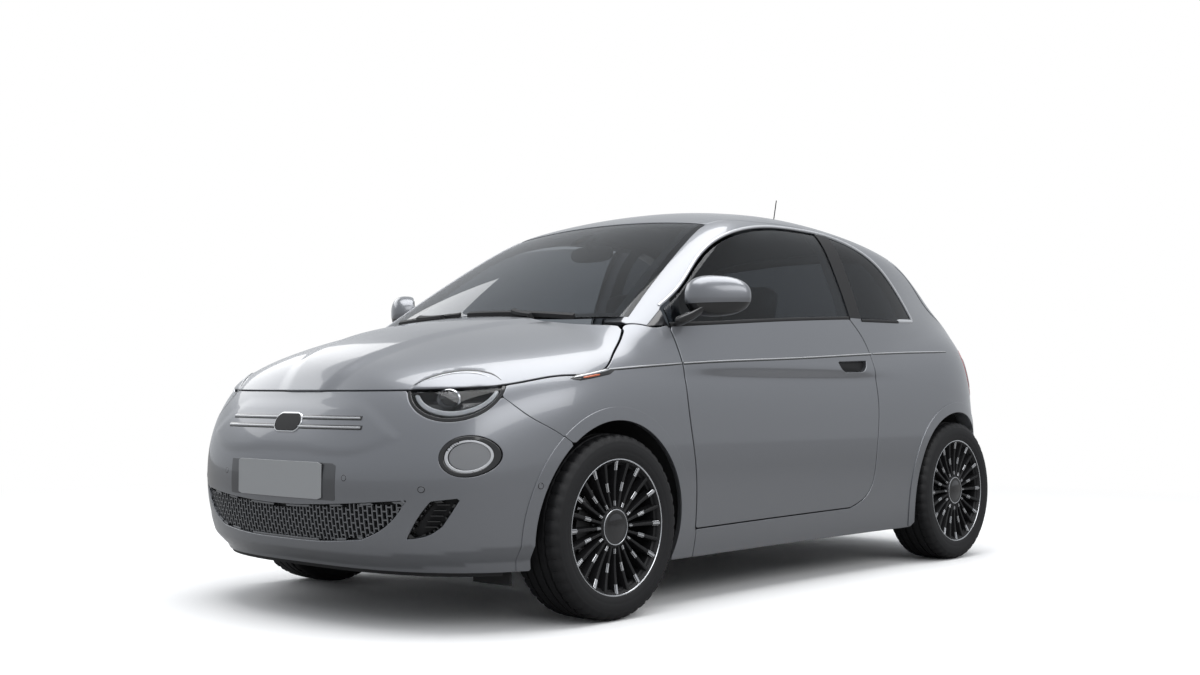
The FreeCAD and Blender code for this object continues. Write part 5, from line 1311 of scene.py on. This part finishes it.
def build_lamps():
    """Head lamps with a pale light ring in a black bezel, and the round lamps below."""
    def off_bonnet(clear):
        return outside(inside(hood_shape, SIDE, clear))

    us, vs = lamp_grid(640, 790, 4.5)
    bezel = all_of(head_lamp_test(-0.3), outside(head_lamp_test(-11)), off_bonnet(GAP - 1.8))
    guide = all_of(head_lamp_test(-17), outside(head_lamp_test(-33)), off_bonnet(16))
    bowl = all_of(head_lamp_test(-8), off_bonnet(8))
    for part, finish, test, level, deep, edge in (("bezel", "black_gloss", bezel, -0.5, 36, 1.6),
                                                  ("guide", "light_guide", guide, -12, 16, 4.0),
                                                  ("bowl", "black_gloss", bowl, -42, 4, 0.6)):
        pair("lamp_" + part, finish, wall_rays, us, vs, test, deep, ROOT, level=level, edge=edge,
             node="headlamps")
    pair("lamp_lens", "clear_lens", wall_rays, us, vs, all_of(head_lamp_test(-6), off_bonnet(GAP + 3)), 2.5,
         ROOT, level=-2.2, edge=0.6, slot="lamp_clear")
    eye = Shape()
    place = np.array([1588.0, 588.0, 732.0])
    way = np.array([math.cos(LAMP_TURN), math.sin(LAMP_TURN), 0])
    rings = [(0, 40), (10, 40), (14, 36), (10, 33), (8, 31), (14, 24), (18, 14), (19, 0.01)]
    up = np.array([0, 0, 1.0])
    across = np.cross(up, way)
    for a, b, finish in ((0, 5, "reflector"), (4, 8, "screen")):
        rows = [[place + way * d + (across * math.cos(t) * r + up * math.sin(t) * r * 0.82)
                 for t in circle(40)] for d, r in rings[a:b]]
        eye.sheet(rows, finish, wrap=True)
    eye.make_pair("lamp_eye", ROOT)
    for part, finish, outer, inner, level, deep, edge in (
            ("ring", "black_gloss", ROUND_LAMP_RADIUS - 0.8, 51, 1.0, 30, 3.0),
            ("chrome", "satin", 52, 43.5, -2.0, 20, 2.0), ("lens", "frost_lens", 44, None, -5.0, 12, 4.0)):
        test = round_from(FRONT, ROUND_LAMP, outer)
        if inner:
            test = all_of(test, outside(round_from(FRONT, ROUND_LAMP, inner)))
        pair("round_lamp_" + part, finish, wall_rays, *lamp_grid(484, 628, 4.0), test, deep, ROOT,
             level=level, edge=edge, node="running_lamps", slot="lamp_clear")


def build_grille():
    """The lower grille of upright slots, and the corner vents with their blades."""
    us, vs = spaced(1180, NOSE_ROUND - 1180, 14), spaced(240, 450, 10)
    panel("grille_back", "black_plastic", wall_rays, us, vs, inside(grille_shape, FRONT, 4), 3, ROOT,
          level=-24, edge=0.5, node="front_grille", slot="black_trim")
    panel("grille_rim", "grille_grey", wall_rays, spaced(1180, NOSE_ROUND - 1180, 9), spaced(250, 440, 9),
          all_of(inside(grille_shape, FRONT, -1.0), outside(inside(grille_shape, FRONT, -8))), 18, ROOT,
          level=-3, edge=1.5, slot="black_trim")
    wide, tall = 17.0, 27.0
    uprights, ties = [], []
    for i in range(-32, 33):
        y = i * wide
        for j in range(12):
            z = 262 + j * tall / 2
            if flat_distance(grille_shape, np.array([[y, z]]))[0] < -5:
                uprights.append((y, z))
        for j in range(7):
            z = 262 + j * tall + (tall / 2 if i % 2 else 0)
            if flat_distance(grille_shape, np.array([[y + wide / 2, z]]))[0] < -7:
                ties.append((y + wide / 2, z))
    for name, flat, size, along in (("grille_uprights", uprights, (12, 4.6, 14.2), (0, 0, 1)),
                                    ("grille_ties", ties, (11, 4.4, wide), (0, 1, 0))):
        points, normals = on_skin(flat, FRONT, -14.0)
        bars(name, points, [(along - n * np.dot(along, n), n) for n in normals], size, "grille_grey")
    us, vs = spaced(1180, STRAIGHT[0] + BEND * math.pi * 0.46, 8), spaced(280, 440, 8)
    pair("vent_well", "black_plastic", wall_rays, us, vs, inside(vent_shape, FRONT, 3), 3, ROOT, level=-26,
         edge=0.5, slot="black_trim")
    pair("vent_lip", "black_gloss", wall_rays, us, vs,
         all_of(inside(vent_shape, FRONT, -0.8), outside(inside(vent_shape, FRONT, -7))), 26, ROOT,
         level=-0.5, edge=1.5, slot="black_trim")
    points, normals = on_skin([(639 - 9 * k, 408 - 17 * k) for k in range(5)], FRONT, -13.0)
    for side, sign in SIDES.items():
        out = normals * [1, sign, 1]
        bars("vent_blades_" + side, points * [1, sign, 1], [(np.cross(n, (0, 0, 1)), n) for n in out],
             (16, 3, 40), "black_gloss")


def build_front_trim():
    """The two bright bars each side of a plain boss, the plate, and the parking sensors."""
    shape = Shape()
    for sign in (1, -1):
        for z, y1 in ((671, 352), (641, 366)):
            bead(shape, [(sign * y1, z), (sign * 62, z)], FRONT, 16, 2.2, "black_gloss", level=5.0)
        for z, y1 in ((671, 350), (641, 364)):
            bead(shape, [(sign * (y1 - 3), z), (sign * 62, z)], FRONT, 7.5, 5.0, "satin", level=5.4)
    shape.make("nose_bars", ROOT, slot="black_trim")
    line = [(478, 775), (500, 792), (530, 808), (578, 821), (638, 818), (676, 806), (700, 792)]
    shape = Shape()
    bead(shape, line, FRONT, 9, 3.0, "black_gloss", level=1.6, pitch=8, taper=0.9)
    bead(shape, [(y, z - 7) for y, z in line[1:-1]], FRONT, 7, 3.0, "satin", level=3.0, pitch=8, taper=0.9)
    shape.make_pair("brow_strip", "bonnet", slot="black_trim")
    middle = NOSE_ROUND / 2
    for name, finish, r, level, edge in (("boss_rim", "chrome", 33, 9.0, 3.0),
                                         ("boss_face", "black_plastic", 28.5, 10.8, 2.0)):
        panel(name, finish, wall_rays, spaced(middle - 120, middle + 120, 6), spaced(610, 700, 6),
              pill_test(40, r, 656), 9, ROOT, level=level, edge=edge, slot="black_trim")
    panel("plate_bed", "nose_grey", wall_rays, spaced(middle - 330, middle + 330, 12), spaced(395, 545, 8),
          block_test(288, 409, 528), 2, ROOT, level=1.2, edge=1.0, slot="black_trim")
    plate = Shape()
    rows = []
    for y in np.linspace(-230, 230, 25):
        x = 1823 - 8 * (abs(y) / 230) ** 2
        corner = 6 * max(0.0, (abs(y) - 224) / 6)
        rows.append([(x, y, 411 + corner), (x, y, 530 - corner), (x - 3, y, 530 - corner),
                     (x - 3, y, 411 + corner)])
    plate.sheet(rows, "plate", wrap=True, caps=True)
    plate.make("plate_blank", ROOT, bevel=0.8, slot="black_trim")
    us = spaced(1430, STRAIGHT[0] + BEND * math.pi * 0.5, 4)
    for y, z in ((326, 483), (593, 454)):
        for name, finish, r, level in (("sensor_ring", "black_gloss", 10.5, 0.25),
                                       ("sensor_face", "paint", 8.2, 0.7)):
            pair("%s_%d" % (name, y), finish, wall_rays, us, spaced(z - 14, z + 14, 4),
                 round_from(FRONT, (y, z), r), 1.5, ROOT, level=level, edge=0.5, slot="paint")


def build_low_trim():
    """The sensors on the arch bands and the small deflectors ahead of the front wheels."""
    for name, finish, r, level in (("band_sensor_ring", "black_gloss", 10.5, 3.9),
                                   ("band_sensor", "paint", 8.2, 4.4)):
        pair(name, finish, side_rays, spaced(1200, 1480, 4), spaced(-26, -4, 0.3),
             round_from(SIDE, (1404, 460), r), 1.5, ROOT, level=level, edge=0.5, slot="paint")
    flap = Shape()
    flap.brick((1420, 528, 141), (1431, 700, 200), "black_plastic", 2)
    flap.make_pair("wheel_deflector", ROOT, slot="black_trim", bevel=1.5)


def build_side_trim():
    """The strips round the side windows and at their foot, the side line and the side repeaters."""
    line = bent(front_glass_top + quarter_top[1:], 20)
    ways = np.gradient(line, axis=0)
    ways /= np.linalg.norm(ways, axis=1)[:, None]
    path = [tuple(p + np.array([-w[1], w[0]]) * -10.5) for p, w in zip(line, ways)]
    shape = Shape()
    bead(shape, path, SIDE, 13.0, 5.0, "satin", taper=0.3)
    bead(shape, [(-930, 1066), (-1103, 1071)], SIDE, 17, 4.5, "satin", taper=0.5)
    bead(shape, [(-600, 1056), (-935, 1062)], SIDE, 15, 3.5, "black_plastic")
    shape.make_pair("window_strip", ROOT, slot="black_trim")
    shape = Shape()
    bead(shape, [(692, 993), (532, 1002), (28, 1034), (-500, 1062)], SIDE, 15, 3.5, "black_plastic",
         level=-1.5)
    shape.make_pair("belt_strip", "door_@", slot="black_trim")
    line_at = Curve([(-1259, 935), (-615, 913), (-54, 886), (631, 857), (1084, 827)])
    for part, body, x0, x1, taper in (("wing", ROOT, 1075, 677, 0.3), ("door", "door_@", 666, -606, 0),
                                      ("quarter", ROOT, -619, -1259, 0.3)):
        shape = Shape()
        run = [(x, float(line_at(x))) for x in np.linspace(x0, x1, 8)]
        bead(shape, run, SIDE, 11, 1.6, "black_gloss", taper=taper)
        bead(shape, [(x, z + 1.5) for x, z in run], SIDE, 5.5, 3.4, "satin", taper=taper)
        shape.make_pair("side_line_" + part, body, slot="black_trim")
    shape = Shape()
    bead(shape, [(1250, 797), (1180, 806), (1100, 818), (1032, 830)], SIDE, 24, 3.5, "black_gloss",
         taper=0.9)
    bead(shape, [(1240, 801), (1180, 809), (1100, 822), (1045, 831)], SIDE, 9, 5.5, "chrome", taper=0.9)
    bead(shape, [(1205, 799), (1160, 805), (1110, 812)], SIDE, 8, 5.5, "amber_lens", taper=0.8)
    shape.make_pair("side_repeater", ROOT, slot="black_trim")


def build_mirrors():
    """Door mirrors: a painted cap over a black lower shell, with the glass set in its back."""
    turn = math.radians(128)
    centre = np.array([556.0, 860.0, 1096.0])
    half = (119, 62, 73)

    def flatten(points):
        points = points.copy()
        back_side = points[:, 1] > 30
        points[back_side, 1] = 30 + (points[back_side, 1] - 30) * 0.12
        points[:, 1] *= 1 - 0.10 * points[:, 0] / half[0]
        points[:, 2] *= 1 - 0.10 * points[:, 0] / half[0]
        return points

    shape = Shape()
    shape.egg(centre, half, "paint", 2.5, turn, 30, flatten)
    heights = shape.points[0][:, 2]
    shape.finishes.append("black_gloss")
    shape.slots = [int(np.mean(heights[list(f)]) < centre[2] - 24) for f in shape.faces]
    spin = turned(turn)
    ring = circle(56)

    def oval(a, b, depth):
        local = np.stack([np.sign(np.cos(ring)) * np.abs(np.cos(ring)) ** 0.75 * a, 0 * ring + depth,
                          np.sign(np.sin(ring)) * np.abs(np.sin(ring)) ** 0.75 * b], 1)
        return local @ spin.T + centre

    shape.sheet([oval(96, 56, 33), oval(96, 56, 36.5), oval(91, 51, 36.5), oval(91, 51, 34)],
                "black_plastic", wrap=True)
    shape.sheet([oval(91, 51, 34.5), oval(0.01, 0.01, 34.5)], "reflector", wrap=True)
    shape.make_pair("mirror_head", "door_@", slot="paint", node="door_mirror_@")
    arm = Shape()
    foot = [(648, 746, 1004, 27), (644, 772, 1012, 26), (628, 805, 1028, 24), (604, 838, 1054, 22)]
    rows = [[(x + r * 1.5 * math.cos(a) * 0.8, y + r * 0.7 * math.cos(a), z + r * 0.75 * math.sin(a))
             for a in circle(20)] for x, y, z, r in foot]
    arm.sheet(rows, "black_gloss", wrap=True, caps=True)
    arm.make_pair("mirror_foot", "door_@", slot="black_trim")


# Inside the cabin
def pad(name, node, centre, half, lean, seams, across=(), crown=0.12):
    """A crowned cushion that leans back, with sewn channels across its width and along its length."""
    tilt = math.radians(lean)
    c, s = math.cos(tilt), math.sin(tilt)
    thin = int(np.argmin(half))
    long = 2 if thin == 0 else 0

    def sew(points):
        points = points.copy()
        middle = (1 - (points[:, 1] / half[1]) ** 2) * (1 - (points[:, long] / half[long]) ** 2)
        points[:, thin] *= 1 - crown + crown * 1.6 * np.clip(middle, 0, 1)
        for y in seams:
            points[:, thin] *= 1 - 0.16 * np.exp(-((np.abs(points[:, 1]) - y) / 7.0) ** 2)
        for z in across:
            points[:, thin] *= 1 - 0.13 * np.exp(-((points[:, long] - z) / 7.0) ** 2)
        x, z = points[:, 0] * c + points[:, 2] * s, -points[:, 0] * s + points[:, 2] * c
        return np.stack([x, points[:, 1], z], 1)

    shape = Shape()
    shape.egg(centre, half, "cloth", 4.5, 0.0, 38, sew)
    shape.make(name, ROOT, node=node, slot="seat_cloth")


def build_cabin():
    """Seats with sewn cushions, the screens, the inner mirror and the windscreen's black border."""
    for side, sign in SIDES.items():
        y = sign * 345.0
        pad("seat_cushion_" + side, "front_seats", (82, y, 455), (244, 232, 68), 0, (150,), (-110, 0, 110))
        pad("seat_back_" + side, "front_seats", (-253, y, 762), (56, 226, 300), -14, (140,),
            (-160, -50, 60, 170))
        pad("head_rest_" + side, "front_seats", (-340, y, 1113), (43, 126, 86), -14, (), ())
        shape = Shape()
        for rail in (-175, 175):
            shape.brick((-170, y + rail - 15, 274), (290, y + rail + 15, 333), "steel")
            shape.rod([(-320 - 2, y + rail * 0.34, 1010), (-336, y + rail * 0.34, 1060)], 6, "steel")
        shape.brick((-180, y - 208, 333), (305, y + 208, 395), "cabin_plastic", 6)
        shape.egg((-262, y, 762), (50, 232, 306), "cabin_plastic", 5.0, 0.0, 20,
                  lambda p: np.stack([p[:, 0] * 0.970 - p[:, 2] * 0.242 - 14, p[:, 1] * 0.97,
                                      p[:, 2] * 0.970 + p[:, 0] * 0.242], 1))
        shape.make("seat_frame_" + side, ROOT, node="front_seats")
    pad("bench_cushion", "rear_bench", (-555, 0, 440), (210, 512, 70), 0, (180, 340), (-70, 70))
    pad("bench_back", "rear_bench", (-905, 0, 780), (54, 512, 256), -16, (180, 340), (-90, 60))
    shape = Shape()
    shape.brick((505, 270, 905), (512, 545, 985), "screen")
    shape.brick((512, 262, 897), (530, 553, 992), "cabin_plastic")
    shape.brick((492, -150, 860), (499, 130, 985), "screen")
    shape.brick((499, -158, 850), (522, 138, 992), "cabin_plastic")
    shape.make("dash_screens", ROOT, bevel=2.0)
    shape = Shape()
    shape.egg((282, 0, 1318), (13, 116, 33), "cabin_plastic", 3.0)
    shape.egg((273, 0, 1318), (5, 109, 27), "reflector", 3.0)
    shape.rod([(288, 0, 1330), (310, 0, 1358), (322, 0, 1374)], 8, "cabin_plastic")
    shape.egg((326, 0, 1372), (60, 44, 12), "cabin_plastic", 2.6, 0.0, 20,
              lambda p: np.stack([p[:, 0], p[:, 1], p[:, 2] - p[:, 0] * 0.42], 1))
    shape.make("inner_mirror", ROOT)
    pitch = grid_and_trim()[0] * 1.8
    panel("windscreen_border", "black_gloss", top_rays, spaced(150, 960, pitch), spaced(-690, 690, pitch),
          all_of(inside(shield_shape, TOP, -1), outside(inside(shield_shape, TOP, -30))), 0.8, ROOT,
          level=-SINK - PANE - 0.4, edge=0.3, slot="black_trim")


def build_small_parts():
    """The aerial, the chin strip, the jack pads, and the tail's plate, reflectors, valance and wiper."""
    shape = Shape()
    root = on_skin([(-985, 0)], TOP)[0][0]
    rows = [[root + np.array([lean + a * math.cos(t), b * math.sin(t), high]) for t in circle(28)]
            for lean, a, b, high in ((0, 30, 16, -3), (0, 29, 15, 4), (-3, 20, 11, 14), (-7, 11, 7.5, 24),
                                     (-8, 5, 5, 27))]
    shape.sheet(rows, "black_plastic", wrap=True, caps=True)
    tip = np.array([-1036.0, 0, 1676])
    start = root + np.array([-8.0, 0, 22])
    shape.rod([start + (tip - start) * t for t in (0, 0.5, 1)], 2.6, "black_plastic", 10)
    shape.make("aerial_mast", ROOT, slot="black_trim", node="aerial")
    pitch = grid_and_trim()[0]
    panel("chin_strip", "black_plastic", wall_rays, spaced(1330, NOSE_ROUND - 1330, pitch),
          spaced(150, 240, 6), all_of(above(176), lambda p: p[:, 2] - 196, lambda p: 1340 - p[:, 0]), 14,
          ROOT, level=-24.0, edge=2.0, slot="black_trim")
    shape = Shape()
    for sign in SIDES.values():
        for x, y in ((430, 715), (-880, 722)):
            near, far = sorted((sign * y, sign * (y + 40)))
            shape.brick((x, near, 160), (x + 60, far, 176), "black_plastic")
    shape.make("jack_blocks", ROOT, bevel=1.0, slot="black_trim")
    middle = TAIL_ROUND / 2
    for name, finish, half, low, high, level in (("tail_plate_bed", "black_gloss", 268, 694, 834, 0.8),
                                                 ("tail_plate", "plate", 255, 706, 818, 4.0)):
        panel(name, finish, wall_rays, spaced(middle - 320, middle + 320, 10), spaced(680, 850, 8),
              block_test(half, low, high), 3, "tailgate", level=level, edge=1.5, slot="black_trim")
    pair("tail_reflector", "red_lens", wall_rays, spaced(middle + 330, middle + 640, 8),
         spaced(300, 420, 6), pill_test(62, 14, 352, 505), 3, ROOT, level=2.0, edge=1.5, slot="lamp_red")

    def valance(p):
        """Between two heights, and narrower the higher it is."""
        return np.maximum(np.abs(p[:, 1]) - 430 + (p[:, 2] - 207), np.maximum(207 - p[:, 2], p[:, 2] - 275))

    panel("tail_under", "black_plastic", wall_rays, spaced(middle - 560, middle + 560, pitch),
          spaced(195, 300, 8), valance, 3, ROOT, level=0.9, edge=1.2, slot="black_trim")
    shape = Shape()
    bead(shape, [(0, 1088), (120, 1092), (250, 1100), (330, 1108)], FRONT, 15, 9, "black_plastic",
         level=-2.5, x_from=-1100)
    bead(shape, [(-30, 1082), (30, 1084)], FRONT, 34, 16, "black_plastic", level=-3, x_from=-1100)
    shape.make("tail_wiper", "tailgate", slot="black_trim")


# The stage
def floor_finish(clear):
    """Pale floor that takes the shadow near the car and is plain white further out."""
    m = shader("floor", (0.93, 0.93, 0.93), 0.7, Specular_IOR_Level=0.05)
    tree = m.node_tree
    paint = tree.nodes["Principled BSDF"]
    where, far, fade, glow, mix, seen, shade = new_nodes(
        tree, "ShaderNodeTexCoord", "ShaderNodeVectorMath", "ShaderNodeMapRange", "ShaderNodeEmission",
        "ShaderNodeMixShader", "ShaderNodeLightPath", "ShaderNodeMix")
    far.operation = "LENGTH"
    fade.interpolation_type = "SMOOTHSTEP"
    fill(fade, From_Min=clear * 0.5, From_Max=clear)
    shade.data_type = "RGBA"
    fill(shade, A=(0.30, 0.30, 0.30, 1), B=(1.0, 1.0, 1.0, 1))
    link_all(tree, (where.outputs["Object"], far.inputs[0]), (far.outputs["Value"], fade.inputs["Value"]),
             (seen.outputs["Is Camera Ray"], shade.inputs["Factor"]),
             (shade.outputs["Result"], paint.inputs["Base Color"]),
             (shade.outputs["Result"], glow.inputs["Color"]), (fade.outputs["Result"], mix.inputs[0]),
             (paint.outputs[0], mix.inputs[1]), (glow.outputs[0], mix.inputs[2]),
             (mix.outputs[0], tree.nodes["Material Output"].inputs["Surface"]))
    return m


def look(thing, place, way):
    """Puts a camera or a lamp at a place, turned to look along a way."""
    thing.matrix_world = Matrix.Translation(place) @ way.to_track_quat("-Z", "Y").to_matrix().to_4x4()


def build_stage():
    sizes = bpy.context.scene.stage_sizes
    scene = bpy.context.scene
    camera = bpy.data.cameras.new("camera")
    camera.sensor_fit = "HORIZONTAL"
    camera.angle = sizes.view_angle
    camera.clip_end = 200
    scene.camera = new_object("camera", camera)
    h, c = sizes.heading, sizes.climb
    way = Vector((math.cos(c) * math.cos(h), math.cos(c) * math.sin(h), math.sin(c)))
    look(scene.camera, sizes.eye, way)
    scene.view_settings.view_transform = "Standard"

    mesh = bpy.data.meshes.new("floor")
    mesh.from_pydata([(-60, -60, 0), (60, -60, 0), (60, 60, 0), (-60, 60, 0)], [], [(0, 1, 2, 3)])
    mesh.materials.append(floor_finish(sizes.floor_clear))
    new_object("floor", mesh)

    scene.world = bpy.data.worlds.new("studio")
    scene.world.use_nodes = True
    tree = scene.world.node_tree
    tree.nodes.clear()
    out, light, plain, seen, mix = new_nodes(
        tree, "ShaderNodeOutputWorld", "ShaderNodeBackground", "ShaderNodeBackground",
        "ShaderNodeLightPath", "ShaderNodeMixShader")
    fill(light, Color=(0.93, 0.96, 1.0, 1), Strength=sizes.sky)
    fill(plain, Color=(1, 1, 1, 1), Strength=1.0)
    link_all(tree, (seen.outputs["Is Camera Ray"], mix.inputs[0]), (light.outputs[0], mix.inputs[1]),
             (plain.outputs[0], mix.inputs[2]), (mix.outputs[0], out.inputs[0]))
    for name, place, target, wide, long, power in (
            ("overhead", (0.2, 0.5, 5.4), (0.0, 0, 0.6), 7.0, 5.0, 330),
            ("near_side", (1.2, 7.5, 4.8), (0.2, 0, 0.7), 11.0, 3.2, 230),
            ("far_side", (1.0, -7.5, 4.6), (0.2, 0, 0.7), 9.0, 3.0, 120)):
        lamp = bpy.data.lights.new(name, "AREA")
        lamp.shape = "RECTANGLE"
        lamp.size, lamp.size_y = wide, long
        lamp.energy = power
        look(new_object(name, lamp), place, Vector(target) - Vector(place))


def dress_cad():
    """Finishes for the CAD nodes that stay in sight."""
    finishes = {"tyre": "tyre", "rim": "alloy_black", "brake_disc": "steel", "front_knuckle": "cast",
                "rear_axle": "cast", "front_subframe": "cast", "drive_unit": "cast",
                "floor_pan": "under_coat", "battery_pack": "under_coat", "wheel_houses": "under_coat",
                "scuttle": "black_plastic", "wipers": "black_plastic", "front_grille": "black_gloss",
                "headlamps": "black_gloss", "running_lamps": "frost_lens", "door_mirror": "paint",
                "dashboard": "cabin_plastic", "steering_wheel": "cabin_plastic", "front_seats": "cloth",
                "rear_bench": "cloth"}
    for name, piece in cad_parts.items():
        for start, finish in finishes.items():
            if name.startswith(start):
                for slot in piece.material_slots:
                    slot.material = material(finish)


def operator(name, label, words, action):
    """An operator that makes one group of pieces."""
    def execute(self, context):
        action()
        return {"FINISHED"}
    return type("HATCH_OT_" + name, (bpy.types.Operator,), {
        "__doc__": words, "bl_idname": "hatch." + name, "bl_label": label,
        "bl_options": {"REGISTER", "UNDO"}, "execute": execute})


OPERATORS = [
    operator("cad", "Finishes", "Gives the CAD pieces that stay in sight their finishes", dress_cad),
    operator("sides", "Side frames", "Makes both side frames and the centre pillars", build_side_frames),
    operator("arches", "Arch bands", "Makes the raised bands round the wheel arches", build_arch_bands),
    operator("roof", "Roof", "Makes the roof skin", build_roof),
    operator("doors", "Doors", "Makes the door skins and linings", build_doors),
    operator("front", "Front", "Makes the bonnet, the wings and the nose", build_front),
    operator("rear", "Rear", "Makes the tailgate, the rear bumper and the tail lamps", build_rear),
    operator("glass", "Glass", "Makes every pane", build_glass),
    operator("wheels", "Wheels", "Makes the tyres, rims and discs", build_wheels),
    operator("lamps", "Lamps", "Makes the head lamps and the round lamps", build_lamps),
    operator("grille", "Grille", "Makes the lower grille and the corner vents", build_grille),
    operator("front_trim", "Front trim", "Makes the nose bars, plate and sensors", build_front_trim),
    operator("low_trim", "Low trim", "Makes the arch bands' sensors and the deflectors", build_low_trim),
    operator("side_trim", "Side trim", "Makes the strips along the sides", build_side_trim),
    operator("mirrors", "Mirrors", "Makes the door mirrors", build_mirrors),
    operator("cabin", "Cabin", "Makes the seats' cushions, the screens and the inner mirror", build_cabin),
    operator("small_parts", "Small parts", "Makes the aerial, the jack pads and small parts of the tail",
             build_small_parts),
    operator("stage", "Stage", "Makes the floor, the lights and the camera", build_stage),
]


class HATCH_PT_pieces(bpy.types.Panel):
    bl_idname = "HATCH_PT_pieces"
    bl_label = "Hatchback"
    bl_space_type = "VIEW_3D"
    bl_region_type = "UI"
    bl_category = "Hatchback"

    def draw(self, context):
        for cls in OPERATORS:
            self.layout.operator(cls.bl_idname)


GROUPS = {"body_sizes": BodySizes, "colours": Colours, "stage_sizes": StageSizes}


def register():
    for cls in list(GROUPS.values()) + OPERATORS + [HATCH_PT_pieces]:
        bpy.utils.register_class(cls)
    for name, group in GROUPS.items():
        setattr(bpy.types.Scene, name, bpy.props.PointerProperty(type=group))


def unregister():
    for name in GROUPS:
        delattr(bpy.types.Scene, name)
    for cls in [HATCH_PT_pieces] + OPERATORS[::-1] + list(GROUPS.values()):
        bpy.utils.unregister_class(cls)


def main():
    register()
    for cls in OPERATORS:
        getattr(bpy.ops.hatch, cls.bl_idname.split(".")[1])()


if __name__ == "__main__":
    main()
